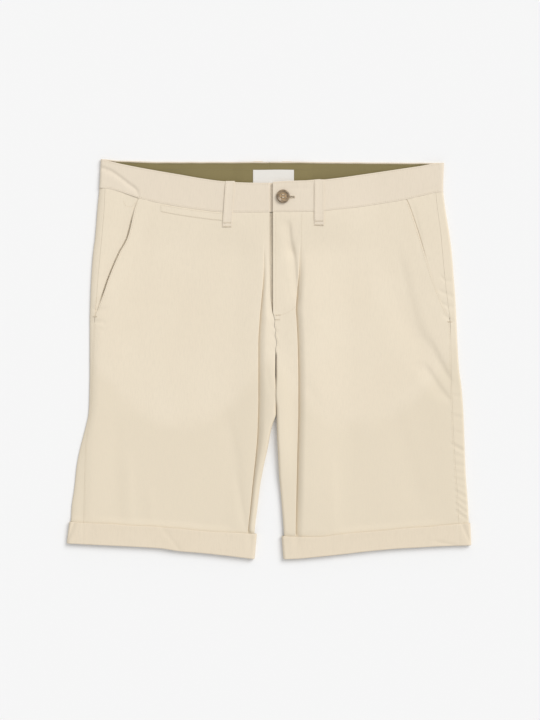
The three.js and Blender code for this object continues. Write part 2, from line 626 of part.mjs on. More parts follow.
// ---------- belt loops ----------
// A front loop lies on the band and on the panel below it, from the band's top edge down.
const FRONT_LOOPS = {
  right: { top: { x: -58.4, y: 239.4 }, bottom: { x: -62.8, y: 177.5 }, width: LOOP_WIDTH },
  left: { top: { x: 61, y: 240.4 }, bottom: { x: 60.8, y: 179.6 }, width: 13.2 },
};

function frontLoop(side) {
  const { top, bottom, width } = FRONT_LOOPS[side];
  const lift = BAND / 2 + LAP + CLOTH / 2;
  const grid = steps(9).map((t) => steps(2).map((share) => {
    const y = lerp(top.y, bottom.y, t);
    const x = lerp(top.x, bottom.x, t) + width * share;
    const under = y > waist[side].seam(x) ? waistLevel(side, x) : frontLevel(side, x, y);
    return new THREE.Vector3(x, y, under + lift);
  }));
  return shell(grid, CLOTH);
}

// A back loop lies between the surface and the lifted back band.
const BACK_LOOPS = {
  right: { left: -21, top: 267.2 },
  left: { left: 18, top: 267.0 },
};
const BACK_LOOP_LENGTH = 56;

function backLoop(side) {
  const { left, top } = BACK_LOOPS[side];
  const grid = steps(4).map((t) => steps(1).map((share) => (
    new THREE.Vector3(left + LOOP_WIDTH * share, top - BACK_LOOP_LENGTH * t, CLOTH / 2)
  )));
  return shell(grid, CLOTH);
}

// ---------- coin pocket welt ----------
const WELT = { left: -145.5, right: -63.6, height: 10.5 };

function coinPocketWelt() {
  const lift = CLOTH / 2 + LAP + TAPE / 2;
  const grid = steps(2).map((t) => steps(9).map((share) => {
    const x = lerp(WELT.left, WELT.right, share);
    const y = waist.right.seam(x) - 0.8 - WELT.height * t;
    return new THREE.Vector3(x, y, frontLevel("right", x, y) + lift);
  }));
  return shell(grid, TAPE);
}

// ---------- cuffs ----------
// The section of a cuff: depth from its outer face and height above its fold. The outer wall runs up
// to the cuff's edge and the return is short.
function cuffSection(height) {
  const gap = 0.6;
  const depth = 2 * CLOTH + gap;
  const turn = depth / 2;
  const bend = [0, 0.25, 0.5, 0.75, 1].map((t) => ({
    depth: turn - turn * Math.cos(Math.PI * t),
    height: turn - turn * Math.sin(Math.PI * t),
  }));
  const inside = [1, 0.5, 0].map((t) => ({
    depth: turn - (gap / 2) * Math.cos(Math.PI * t),
    height: turn - (gap / 2) * Math.sin(Math.PI * t),
  }));
  return [
    { depth: 0, height },
    ...bend,
    { depth, height: CUFF_RETURN },
    { depth: depth - CLOTH, height: CUFF_RETURN },
    ...inside,
    { depth: CLOTH, height },
  ];
}

// Stations round a cuff: across the back on the surface, up the outer fold, across the front, and down
// the inner fold. Each has its share of the width, its inset and its direction outwards.
function cuffStations() {
  const half = (across, from) => steps(5).map((t) => {
    const angle = from + t * Math.PI;
    return { across, inset: 1 - Math.abs(Math.cos(angle)), x: Math.cos(angle), z: Math.sin(angle) };
  });
  const flat = (z, shares) => shares.map((across) => ({ across, inset: 0, x: 0, z }));
  const shares = steps(9).slice(1, -1);
  return [
    ...flat(-1, shares),
    ...half(1, -Math.PI / 2),
    ...flat(1, [...shares].reverse()),
    ...half(0, Math.PI / 2),
  ];
}

function cuff(side) {
  const sign = outward[side];
  const shape = CUFF_OUTLINE[side];
  const stations = cuffStations().map((station) => {
    const at = (t) => {
      const inner = lerp(shape.innerFold, shape.innerTop, t) + sign * CUFF_ROUND;
      const outer = lerp(shape.outerFold, shape.outerTop, t) - sign * CUFF_ROUND;
      return lerp(inner, outer, station.across) + sign * CUFF_ROUND * station.x;
    };
    const centre = at(0.5);
    const height = hem[side].cuff(centre) - hem[side].fold(centre);
    return cuffSection(height).map((corner) => {
      const x = at(corner.height / height) - sign * corner.depth * station.x;
      const z = CUFF_TOP / 2 + (CUFF_TOP / 2 - corner.depth) * station.z;
      return new THREE.Vector3(x, hem[side].fold(x) + corner.height, z);
    });
  });
  return ring(stations);
}

// ---------- button ----------
const buttonBase = () => waistLevel("left", BUTTON.x) + BAND / 2 + BUTTON.lift;
const buttonHoles = [-1, 1].flatMap((i) => [-1, 1].map((j) => ({
  x: BUTTON.x + i * BUTTON.spread,
  y: BUTTON.y + j * BUTTON.spread,
})));

// A dished disc with a raised round rim and four holes.
function button() {
  const { radius, thickness, hole } = BUTTON;
  const base = buttonBase();
  const profile = [
    [0, 0], [radius * 0.8, 0], [radius * 0.96, thickness * 0.22], [radius, thickness * 0.5],
    [radius * 0.95, thickness * 0.86], [radius * 0.84, thickness], [radius * 0.72, thickness * 0.92],
    [radius * 0.62, thickness * 0.7], [0, thickness * 0.62],
  ].map(([r, z]) => new THREE.Vector2(r, z));
  const disc = new THREE.LatheGeometry(profile, 24).rotateX(Math.PI / 2).translate(BUTTON.x, BUTTON.y, base);
  const drilled = buttonHoles.reduce(
    (solid, { x, y }) => solid.subtract(toManifold(cylinder(hole, base - 1, base + thickness + 1, x, y, 8))),
    toManifold(disc),
  );
  return fromManifold(drilled);
}

// The shank passes through the buttonhole, and four strands pass through the holes, tied across.
function buttonThread() {
  const underlap = waistLevel("right", BUTTON.x) + BAND / 2;
  const base = buttonBase();
  const dish = base + BUTTON.thickness * 0.62;
  const knot = base - 0.4;
  const shank = cylinder(SHANK_RADIUS, underlap + SEAM, knot, BUTTON.x, BUTTON.y - 1, 10);
  const strands = buttonHoles.map(({ x, y }) => cylinder(THREAD_RADIUS, knot, dish + 0.8, x, y, 6));
  const tie = new THREE.BoxGeometry(2 * BUTTON.spread + 1, 2 * BUTTON.spread + 1, 0.24)
    .translate(BUTTON.x, BUTTON.y, knot);
  const bars = [-1, 1].map((i) => new THREE.BoxGeometry(2 * BUTTON.spread + 1, 2 * THREAD_RADIUS, 0.5)
    .translate(BUTTON.x, BUTTON.y + i * BUTTON.spread, dish + 0.55));
  const pieces = [shank, tie, ...strands, ...bars].map(toManifold);
  return fromManifold(pieces.reduce((all, piece) => all.add(piece)));
}

// ---------- assembly ----------
for (const side of ["right", "left"]) {
  add(`front_${side}`, front(side), SAND);
  add(`back_${side}`, back(side), SAND);
  add(`pocket_facing_${side}`, pocketFacing(side), SAND);
  add(`cuff_${side}`, cuff(side), SAND_BAND);
  add(`waistband_facing_${side}`, waistbandFacing(side), OLIVE);
  add(`belt_loop_front_${side}`, frontLoop(side), SAND_BAND);
  add(`belt_loop_back_${side}`, backLoop(side), SAND_BAND);
}
add("waistband_right", waistband("right"), SAND_BAND);
const leftBand = toManifold(waistband("left")).subtract(toManifold(buttonhole()));
add("waistband_left", fromManifold(leftBand), SAND_BAND);
add("fly_shield", flyShield(), SAND);
add("coin_pocket_welt", coinPocketWelt(), SAND_BAND);
add("waist_label", label(), WHITE);
add("button", button(), HORN);
add("button_thread", buttonThread(), THREAD);

export default shorts;
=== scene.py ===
"""Sand-coloured twill bermuda shorts, laid flat on their back on a pale surface.

The frame's own units are metres. The shorts' tables and heights are in millimetres and are turned into
metres when a mesh is made. X runs to the wearer's left, Y to the waist and Z up from the surface. Each
cloth piece is a wall about a middle surface, whose height is a function of the place in plan.
"""

import math

import bpy
import numpy as np
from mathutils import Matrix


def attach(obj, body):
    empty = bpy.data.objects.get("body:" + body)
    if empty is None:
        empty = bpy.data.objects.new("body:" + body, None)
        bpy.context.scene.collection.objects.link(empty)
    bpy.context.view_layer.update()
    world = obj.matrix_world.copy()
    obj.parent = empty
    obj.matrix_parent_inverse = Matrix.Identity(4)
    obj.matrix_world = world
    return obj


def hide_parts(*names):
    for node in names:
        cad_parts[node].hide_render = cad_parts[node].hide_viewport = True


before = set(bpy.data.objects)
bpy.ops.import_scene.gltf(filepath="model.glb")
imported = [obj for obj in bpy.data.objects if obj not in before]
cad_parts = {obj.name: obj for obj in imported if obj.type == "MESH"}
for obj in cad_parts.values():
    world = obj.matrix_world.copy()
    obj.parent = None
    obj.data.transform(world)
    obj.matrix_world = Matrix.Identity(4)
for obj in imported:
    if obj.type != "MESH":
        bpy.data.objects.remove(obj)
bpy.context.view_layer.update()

MM = 0.001

# ---------- walls, gaps and levels ----------
# Walls of the cloth, a little thinner than the frame's solids, and the gaps between its pieces.
CLOTH = 0.8
BAND = 1.1
TAPE = 0.6
LOOP = 0.6
LABEL = 0.5
WELT = 0.4
SEAM = 0.06
WAIST_SEAM = 0.08
CENTRE_GAP = 0.02
LAP = 0.12
FACING_GAP = 0.12

# Levels of the cloth's middle surface above the surface that it lies on, and what it rises by.
BACK_LEVEL = CLOTH / 2
PANEL_LEVEL = 3.8
SIDE_LEVEL = 5.2
WAIST_LEVEL = 5.4
FLY_LEVEL = 5.8
VALLEY_LEVEL = 1.5
RIDGE_LEVEL = 8.4
CUFF_BACK_LEVEL = 2.4
CUFF_FRONT_LEVEL = 4.9
CUFF_TOP = 7.2
CENTRE_RISE = 1.6
TAB_RISE = 2.0
RIDGE_FOOT = 5.8
CROTCH_RISE = {"right": 2.8, "left": 4.4}
POCKET_GAPE = {"right": 1.6, "left": 0.05}

# The long folds beside the centre: how high up they start and are full, the swell of the cloth before
# each lip and its reach, the width of the turn at the lip, and how far the foot is drawn in below it.
FOLD_TOP = 165
FOLD_FULL = {"right": 60, "left": 75}
LIP_SWELL = {"right": (1.5, 40), "left": (0.6, 24)}
LIP_DROP = 1.3
TUCK = 1.5

# Folds: how far in from one the faces start to turn towards each other, and the share of the height
# from the back to the front at which they meet on the outer one.
FOLD_ROUND = 3.2
ROUND_INSETS = FOLD_ROUND * (1 - np.cos(np.linspace(0, math.pi / 2, 9)))
OUTER_ROUND = {"right": 10.0, "left": 2.4}
OUTER_MEETS = {"right": 0.22, "left": 0.5}
CUFF_ROUND = 3.6
CUFF_RETURN = 9

# Places and sizes in plan.
SIGN = {"right": -1, "left": 1}
CROTCH = -45
BACK_BAND_Y = 240.0
BAND_END_X = 230.0
UNDERLAP_END = 69
TAB_END = 5.0
FLY_EDGE = 9.4
LOOP_WIDTH = 12.5
FRONT_LOOPS = {
    "right": {"top": (-58.4, 239.6), "bottom": (-62.8, 177.5), "width": LOOP_WIDTH},
    "left": {"top": (61.0, 241.4), "bottom": (60.8, 179.6), "width": 13.2},
}
BACK_LOOPS = {"right": (-21.0, 267.2), "left": (18.0, 267.0)}
BACK_LOOP_LENGTH = 56
FACING_HEIGHT = 36
FACING_EDGE = 1.9
FACING_ENDS = {"right": -206, "left": 216}
ROLL_ENDS = {"right": -223.5, "left": 231.5}
POCKET_FACING_UNDER = 16
POCKET_FACING_END = 55.5
LABEL_ENDS = (-21.5, 33.6)
LABEL_MIDDLE = 6.0
WELT_ENDS = (-145.5, -63.6)

BUTTON_X, BUTTON_Y = 18.9, 218.7
BUTTON_RADIUS = 9.0
BUTTON_THICK = 3.2
BUTTON_LIFT = 0.6
BUTTON_HOLE = 2.1
BUTTON_HOLE_AT = (-1.75, 1.75)
BUTTONHOLE_ENDS = (17.2, 33.2)
BUTTONHOLE_Y = 217.6
BUTTONHOLE_WIDTH = 2.2
STITCH_SINK = 0.08

# ---------- outline tables ----------
LEVEL_NAMES = ("y", "edge", "seam", "opening", "fold", "front", "back")
LEVELS = {
    "right": [
        (270, -226.8, -220.0, -168.0, -6.0, 0.9, -0.15),
        (229, -228.9, -221.0, -171.0, -6.0, 0.9, -0.15),
        (206, -231.1, -221.9, -179.6, -6.2, 0.9, 0.3),
        (163, -234.6, -225.3, -190.4, -6.5, 0.9, 1.5),
        (143, -237.2, -227.2, -201.0, -6.8, 0.9, 2.5),
        (111, -239.6, -230.2, -214.7, -7.4, 1.2, 3.5),
        (84, -240.8, -232.4, -224.0, -9.0, 2.0, 5.0),
        (64, -241.4, -234.4, -231.6, -10.8, 4.4, 6.0),
        (55, -241.7, -235.0, -234.6, -11.5, 6.9, 6.9),
        (19, -241.7, -237.2, -237.2, -13.5, 9.1, 9.1),
        (-15, -241.7, -238.4, -238.4, -13.5, 9.0, 9.0),
        (-55, -242.4, -239.6, -239.6, -13.5, 9.6, 9.6),
        (-73, -243.4, -241.0, -241.0, -13.9, 9.8, 9.8),
        (-89, -246.6, -243.4, -243.4, -14.3, 4.6, 4.6),
        (-103, -250.2, -245.6, -245.6, -14.8, 1.4, 1.4),
        (-119, -254.4, -247.3, -247.3, -16.0, -1.4, -1.4),
        (-143, -259.2, -248.2, -248.2, -18.4, -6.8, -6.8),
        (-173, -262.4, -249.0, -249.0, -21.6, -12.2, -12.2),
        (-204, -266.6, -249.6, -249.6, -24.6, -16.0, -16.0),
        (-222, -267.0, -249.9, -249.9, -26.6, -18.4, -18.4),
        (-262, -269.4, -250.3, -250.3, -30.0, -21.6, -21.6),
    ],
    "left": [
        (270, 236.3, 224.0, 178.0, 42.0, 5.5, 0.15),
        (229, 234.9, 224.5, 180.0, 42.0, 5.5, 0.15),
        (206, 237.2, 226.5, 189.0, 42.0, 5.4, 0.6),
        (171, 242.8, 231.3, 201.0, 42.0, 5.4, 1.6),
        (143, 246.4, 233.8, 209.6, 41.5, 5.4, 2.8),
        (111, 249.0, 236.8, 219.5, 40.0, 5.4, 3.8),
        (84, 251.1, 239.9, 229.5, 38.0, 5.4, 5.3),
        (64, 252.2, 242.6, 238.0, 37.0, 5.4, 6.3),
        (55, 252.6, 243.7, 243.2, 37.8, 7.3, 7.3),
        (19, 254.2, 245.0, 245.0, 39.5, 9.5, 9.5),
        (-15, 256.4, 245.5, 245.5, 40.2, 9.4, 9.4),
        (-35, 259.2, 245.9, 245.9, 40.4, 9.6, 9.6),
        (-69, 261.9, 247.2, 247.2, 40.4, 10.1, 10.1),
        (-103, 263.3, 248.6, 248.6, 39.6, 10.8, 10.8),
        (-130, 264.2, 250.3, 250.3, 38.9, 12.2, 12.2),
        (-157, 265.3, 252.0, 252.0, 38.3, 13.5, 13.5),
        (-177, 266.8, 253.5, 253.5, 37.9, 15.5, 15.5),
        (-204, 268.6, 254.8, 254.8, 37.3, 17.8, 17.8),
        (-222, 269.4, 255.5, 255.5, 36.9, 19.2, 19.2),
        (-262, 270.2, 256.0, 256.0, 36.5, 21.6, 21.6),
    ],
}
WAIST_NAMES = ("x", "front", "seam", "back", "back_seam")
WAIST = {
    "right": [
        (-228, 270.0, 230.6, 270.0, 230.6),
        (-215, 266.6, 229.3, 268.6, 229.6),
        (-201, 263.3, 225.5, 267.6, 228.8),
        (-175, 258.0, 216.7, 266.8, 228.0),
        (-147, 253.0, 210.0, 266.0, 227.0),
        (-120, 248.4, 205.0, 266.0, 226.5),
        (-93, 243.7, 201.0, 266.0, 226.0),
        (-63, 239.6, 197.9, 266.0, 226.0),
        (-26, 237.4, 197.4, 266.0, 226.0),
        (4, 237.2, 197.8, 266.0, 226.0),
        (UNDERLAP_END, 242.2, 200.0, 266.0, 226.0),
    ],
    "left": [
        (0, 238.0, 197.8, 266.0, 226.0),
        (32, 239.8, 198.1, 266.0, 226.0),
        (65, 240.7, 198.6, 265.8, 225.8),
        (96, 244.0, 201.8, 265.5, 225.5),
        (123, 248.0, 204.8, 265.3, 225.3),
        (150, 252.0, 209.0, 265.0, 225.0),
        (177, 256.0, 213.4, 264.8, 224.8),
        (204, 260.0, 219.4, 264.7, 224.9),
        (225, 263.6, 224.2, 264.6, 225.2),
        (237, 264.6, 225.5, 264.6, 225.5),
    ],
}
HEM_NAMES = ("x", "fold", "cuff")
HEM = {
    "right": [
        (-273, -248.4, -218.8), (-242, -250.0, -220.6), (-201, -252.0, -223.0), (-147, -255.0, -226.3),
        (-120, -259.0, -228.0), (-93, -261.2, -231.0), (-66, -264.0, -233.0), (-39, -267.2, -234.3),
        (-17, -270.0, -235.2),
    ],
    "left": [
        (17, -270.0, -238.5), (42, -268.8, -239.0), (69, -266.2, -239.4), (96, -263.5, -236.2),
        (123, -260.2, -233.5), (150, -257.4, -231.0), (177, -255.2, -228.6), (204, -253.8, -226.4),
        (231, -252.2, -224.2), (273, -251.0, -221.0),
    ],
}
# x of the cuffs' outer and inner folds, at the upper edge and at the lower fold
CUFF_OUTLINE = {
    "right": {"outer_top": -269.0, "outer_fold": -272.7, "inner_top": -16.3, "inner_fold": -19.4},
    "left": {"outer_top": 271.4, "outer_fold": 272.7, "inner_top": 17.0, "inner_fold": 19.4},
}

# ---------- creases ----------
# Columns: side, way it runs, start, middle, end, depth, two widths. Each is a soft line from one end to
# the other through a middle point. The cloth sinks by depth on the line, or rises where depth is
# negative, and the widths are how far that reaches to each side: left and right of a line that runs up
# the cloth, below and above one that runs across.
CREASES = [
    # hip, wearer's left: long diagonals from the pocket to the side seam
    ("left", "up", (172, 150), (196, 52), (247, -40), 1.5, 30, 9),
    ("left", "up", (150, 132), (180, 60), (212, 10), 0.45, 20, 12),
    ("left", "up", (216, 28), (229, 2), (245, -30), 0.7, 6, 2.6),
    ("left", "up", (210, -6), (225, -30), (245, -58), 1.2, 14, 3.2),
    ("left", "up", (192, 214), (200, 180), (207, 152), 0.4, 5, 3),
    # a slow curve from the long fold across the left thigh
    ("left", "across", (48, -34), (72, -66), (118, -100), 0.4, 26, 12),
    ("left", "up", (168, -60), (186, -130), (204, -200), 0.5, 22, 12),
    ("left", "up", (84, -130), (86, -190), (88, -234), -0.5, 14, 7),
    # fly
    ("left", "up", (26.5, 186), (28, 168), (32.5, 138), 1.7, 9, 2.6),
    ("left", "up", (32, 156), (35.5, 118), (38.5, 76), 2.0, 9, 3.0),
    ("left", "up", (22, 110), (26, 90), (32, 70), 0.3, 5, 3),
    # right thigh
    ("right", "up", (-190, -128), (-189, -180), (-187, -228), -0.6, 10, 7),
    ("right", "up", (-160, -170), (-159, -200), (-156, -230), -0.3, 8, 6),
    ("right", "up", (-206, -80), (-207, -150), (-206, -215), 0.35, 12, 8),
    ("right", "up", (-60, -66), (-46, -123), (-30, -232), 0.6, 13, 7),
    ("right", "up", (-44, -150), (-38, -190), (-30, -236), 0.5, 5, 3),
    ("right", "up", (-178, 180), (-172, 120), (-176, 60), 0.35, 22, 16),
    ("right", "up", (-120, 170), (-118, 80), (-128, -20), 0.3, 34, 30),
    ("right", "across", (-232, -36), (-180, -50), (-110, -40), 0.3, 22, 18),
    ("right", "up", (-3, -10), (-1, -25), (2, -45), 0.35, 4, 3),
    # pulled wrinkles at the pockets' lower ends
    ("right", "across", (-239, 70), (-232, 66), (-220, 67), 0.8, 1.8, 1.8),
    ("right", "across", (-240, 47), (-232, 50), (-220, 48), 0.9, 1.8, 2.2),
    ("right", "across", (-239, 36), (-230, 40), (-220, 37), 0.35, 2, 2.4),
    ("left", "across", (230, 112), (240, 105), (250, 106), 0.6, 2.4, 2.0),
    ("left", "across", (228, 92), (238, 88), (250, 83), 0.7, 2.2, 2.2),
    ("left", "across", (231, 76), (241, 71), (251, 69), 0.6, 2.2, 2.0),
    ("left", "across", (234, 60), (243, 54), (252, 49), 0.7, 2.4, 2.2),
]
# puckers of the strip outside the left side seam: height, slant over the strip, depth, width
STRIP_PUCKERS = [
    (-50, 3, 0.35, 2.4), (-78, 4, 0.45, 2.2), (-99, 6, 0.35, 1.8), (-121, 9, 0.9, 2.4), (-131, 6, 0.4, 1.8),
    (-143, 4, 0.5, 2.0), (-153, 3, 0.35, 1.6), (-164, 5, 0.45, 2.0), (-173, 6, 0.4, 1.6),
    (-184, 9, 0.6, 1.9), (-194, 10, 0.6, 2.0), (-204, 12, 0.7, 2.0), (-213, 12, 0.8, 2.2),
]
# creases of the cuffs: a line through x and y that leans by slant, its depth and width, and the two
# heights between which it deepens, or None where it is as deep all along
CUFF_LINES = {
    "right": [
        (-26, -240, -0.1, 0.55, 5, (-268, -238)), (-126, -250, -0.8, 0.3, 3.6, None),
        (-263, -222, 0.36, 1.2, 2.4, None), (-250.5, 0, 0, 0.4, 1.1, None), (-242, 0, 0, 0.25, 6, None),
    ],
    "left": [
        (37, 0, 0, 0.6, 5, (-270, -240)), (255.5, 0, 0, 0.3, 1.1, None),
        (266, -236, -0.45, 0.7, 2.6, None), (102, -250, 0.5, 0.4, 6, None),
    ],
}
# a tuck that crosses the right band's outer end
BAND_CORNER = {"x": [-229, -215, -201, -188, -177, -173], "y": [259, 255, 246, 236, 227, 214]}


# ---------- small mathematics ----------
def lerp(start, end, t):
    return start + (end - start) * t


def smooth(start, end, value):
    t = np.clip((np.asarray(value, float) - start) / (end - start), 0, 1)
    return t * t * (3 - 2 * t)


def plateau(value, start, full, full_end, end):
    return smooth(start, full, value) * (1 - smooth(full_end, end, value))


def hump(away, width):
    """1 on a line, and less with the distance away from it."""
    return np.exp(-((away / width) ** 2))


def steep_rise(t):
    """From 0 to 1, steepest at its foot and rounded at its head."""
    return np.sin(np.clip(t, 0, 1) * math.pi / 2)


def round_share(inset, reach):
    """A quarter circle: 0 on a fold, 1 from the reach inwards."""
    t = 1 - np.clip(inset / reach, 0, 1)
    return np.sqrt(1 - t * t)


def curve(inputs, outputs):
    """A smooth curve through points that never swings past them."""
    order = np.argsort(inputs)
    xs, ys = np.asarray(inputs, float)[order], np.asarray(outputs, float)[order]
    span = np.diff(xs)
    rise = np.diff(ys) / span
    slope = np.empty_like(xs)
    slope[0], slope[-1] = rise[0], rise[-1]
    product = rise[:-1] * rise[1:]
    total = rise[:-1] + rise[1:]
    slope[1:-1] = np.where(product <= 0, 0, 2 * product / np.where(total == 0, 1, total))

    def at(value):
        v = np.clip(np.asarray(value, float), xs[0], xs[-1])
        i = np.clip(np.searchsorted(xs, v) - 1, 0, len(xs) - 2)
        t = (v - xs[i]) / span[i]
        t2, t3 = t * t, t * t * t
        return (
            (2 * t3 - 3 * t2 + 1) * ys[i] + (t3 - 2 * t2 + t) * span[i] * slope[i]
            + (3 * t2 - 2 * t3) * ys[i + 1] + (t3 - t2) * span[i] * slope[i + 1]
        )

    return at


def curves(tables, names):
    """For each side, a curve of each later column against the first."""
    made = {}
    for side, rows in tables.items():
        columns = list(zip(*rows))
        made[side] = {name: curve(columns[0], columns[k]) for k, name in enumerate(names) if k}
    return made


level = curves(LEVELS, LEVEL_NAMES)
waist = curves(WAIST, WAIST_NAMES)


def drawn_up(line):
    """The centre seam wavers where it is drawn up below the fly."""
    def at(y):
        y = np.asarray(y, float)
        return line(y) + 0.75 * np.sin(y / 2.7 + np.sin(y / 6)) * plateau(y, 2, 16, 48, 56)
    return at


for side_level in level.values():
    for edge in ("front", "back"):
        side_level[edge] = drawn_up(side_level[edge])
hem = curves(HEM, HEM_NAMES)


def outer_fold(side, y, thickness=CLOTH):
    """x of the cloth's middle surface where it wraps round the outer edge."""
    return level[side]["edge"](y) - SIGN[side] * thickness / 2


# ---------- heights of the cloth ----------
def centre_rise(x):
    """The front stands higher where its layers cross at the centre."""
    return CENTRE_RISE * plateau(x, -90, -32, 74, 150)


def back_rise(x, y):
    """The back's upper edge rises over the surface behind the button."""
    return CENTRE_RISE * plateau(x, -52, -32, 40, 60) * smooth(190, 207, y)


def waist_level(side, x):
    """Middle surface of the front band; its left end lies on the underlap."""
    tab = TAB_RISE * (1 - smooth(68, 150, x)) if side == "left" else 0
    return WAIST_LEVEL + centre_rise(x) + tab


def in_cuff(side, x, y, start=-4.0, reach=12.0):
    """0 above the cuff, 1 inside it."""
    return 1 - smooth(start, reach, y - hem[side]["cuff"](x))


def crease(row, x, y):
    """What one row of the crease table adds to the height."""
    _, runs, start, middle, end, depth, width_a, width_b = row
    along, across = (y, x) if runs == "up" else (x, y)
    k = 1 if runs == "up" else 0
    stations = [start[k], middle[k], end[k]]
    line = curve(stations, [start[1 - k], middle[1 - k], end[1 - k]])
    away = across - line(along)
    width = np.where(away < 0, width_a, width_b)
    low, high = min(stations), max(stations)
    t = (along - low) / (high - low)
    return -depth * hump(away, width) * plateau(t, -0.12, 0.22, 0.78, 1.12)


def strip_puckers(x, y):
    """Short slanting creases between the left side seam and the outer fold."""
    across = x - level["left"]["seam"](y)
    total = np.zeros_like(across)
    for height, slant, depth, width in STRIP_PUCKERS:
        away = (y - height + slant * (across - 8) / 16) / width
        total -= depth * (hump(away, 1) - 0.5 * hump(away - 1.9, 1))
    return total * smooth(-7, 3, across)


def slack(x, y):
    """Low, broad waviness of cloth that isn't pressed flat."""
    return (
        0.10 * np.sin(x / 19 + 1.3 * np.sin(y / 41)) * np.sin(y / 27 + 0.8 + 0.9 * np.sin(x / 37))
        + 0.14 * np.sin(x / 47 - 0.7 + 0.6 * np.sin(y / 53)) * np.sin(y / 66 + 2.1)
        + 0.035 * np.sin(x / 8.3 + 1.9 * np.sin(y / 17)) * np.sin(y / 11.7 + 1.1 * np.sin(x / 13))
    )


def seam_puckers(x, y, distance, strength, spread):
    """Small gathers that sewing leaves across a seam; distance is that from its line."""
    run = np.sin(x / 1.9 + 1.7 * np.sin(x / 7.3)) * np.sin(y / 2.1 + 1.4 * np.sin(y / 8.1) + x / 9)
    return strength * run * hump(distance, spread)


def relief(side, x, y):
    """All creases of a front, and the sunk strip along the right side seam."""
    total = slack(x, y)
    for row in CREASES:
        if row[0] == side:
            total = total + crease(row, x, y)
    if side == "left":
        total = total + strip_puckers(x, y)
    seam = x - level[side]["seam"](y)
    total = total + seam_puckers(x, y, np.abs(seam), 0.12, 3.5) * (1 - smooth(50, 62, y))
    centre = np.abs(x - level[side]["front"](y))
    total = total + seam_puckers(x, y, centre, 0.3, 4.5) * plateau(y, 0, 14, 52, 60)
    if side == "right":
        total = total - 1.5 * (1 - smooth(-6, 11, seam)) * (1 - smooth(40, 90, y))
    return total


def lip(away, flat, swell, reach):
    """Cloth that swells a little towards a fold and turns down into it over its last stretch."""
    raised = flat + swell * smooth(-reach, -2 * LIP_DROP, away)
    return lerp(raised, VALLEY_LEVEL, 1 - round_share(-away, LIP_DROP))


def tuck(side, x, y):
    """How far the cloth at the foot of a long fold is drawn in below its lip."""
    away = x - level[side]["fold"](y)
    drawn = np.where(away < 0, smooth(-LIP_DROP, 0, away), 1 - smooth(0, 9, away))
    return -TUCK * drawn * smooth(120, 60, y) * (1 - in_cuff(side, x, y, 0.0, 8.0))


def fly_sink(x, y):
    """The right front lies lower beside the fly's opening."""
    return 0.9 * smooth(-9, 1, x) * plateau(y, 52, 66, 192, 199)


def ridge(y):
    """Level to which the cloth climbs out of a long fold."""
    return lerp(RIDGE_LEVEL, RIDGE_FOOT, smooth(165, 238, -np.asarray(y, float)))


def right_body(x, y):
    """The right front: pulled flat at the hip, and folded beside the centre lower down."""
    at, inner = level["right"]["fold"](y), level["right"]["front"](y)
    plain = lerp(PANEL_LEVEL, FLY_LEVEL, smooth(-44, -6, x))
    outside = lip(x - at, PANEL_LEVEL, *LIP_SWELL["right"])
    reach = np.minimum(9, 0.55 * (inner - at))
    crest = lerp(FLY_LEVEL, ridge(y), 0.45)
    climbed = lerp(crest, FLY_LEVEL, smooth(0.4, 1.0, (x - at) / (inner - at)))
    inside = lerp(VALLEY_LEVEL, climbed, steep_rise((x - at) / reach))
    folded = np.where(x < at, outside, inside)
    return lerp(plain, folded, smooth(FOLD_TOP, FOLD_FULL["right"], y)) - fly_sink(x, y)


def left_body(x, y):
    """The left front: high over the fly, then the long fold and the ridge beside it."""
    away = x - level["left"]["fold"](y)
    plain = lerp(FLY_LEVEL, PANEL_LEVEL, smooth(24, 90, x))
    before = lip(away, FLY_LEVEL, *LIP_SWELL["left"])
    beyond = lerp(ridge(y), PANEL_LEVEL, smooth(8, 76, away))
    folded = np.where(away < 0, before, lerp(VALLEY_LEVEL, beyond, steep_rise(away / 9.5)))
    return lerp(plain, folded, smooth(FOLD_TOP, FOLD_FULL["left"], y))


def front_level(side, x, y):
    """Middle surface of a front before its edges are rounded down."""
    body = right_body(x, y) if side == "right" else left_body(x, y)
    from_edge = np.abs(level[side]["edge"](y) - x)
    sided = np.maximum(body, VALLEY_LEVEL) + (SIDE_LEVEL - PANEL_LEVEL) * (1 - smooth(6, 70, from_edge))
    distance = waist[side]["seam"](x) - y
    worn = lerp(waist_level(side, x), sided, smooth(2, 62, distance))
    shaped = worn + relief(side, x, y) * smooth(-2, 16, distance) + crotch_puff(side, x, y)
    shaped = shaped + seam_puckers(x, y, distance, 0.12, 5)
    held = CUFF_FRONT_LEVEL + 0.35 * relief(side, x, y) - cuff_groove(side, x, y)
    beside_fold = np.abs(x - level[side]["fold"](y))
    reach = lerp(4.0, 11.0, smooth(6, 24, beside_fold))
    return lerp(np.maximum(shaped, VALLEY_LEVEL), held, in_cuff(side, x, y, -1.0, reach))


def cuff_groove(side, x, y):
    """The long fold, as far as the cuff lets it stay open."""
    away = x - level[side]["fold"](y)
    return 1.6 * hump(away, np.where(away < 0, 1.6, 5.5))


def crotch_puff(side, x, y):
    """Cloth crowded together where the legs part stands higher."""
    inner = level[side]["front"](y)
    across = np.abs(x - inner) / np.maximum(np.abs(level[side]["fold"](y) - inner), 1)
    return CROTCH_RISE[side] * plateau(y, -190, -110, -50, 22) * (1 - smooth(0.1, 0.95, across))


def back_level(side, x, y):
    return lerp(BACK_LEVEL + back_rise(x, y), CUFF_BACK_LEVEL, in_cuff(side, x, y))


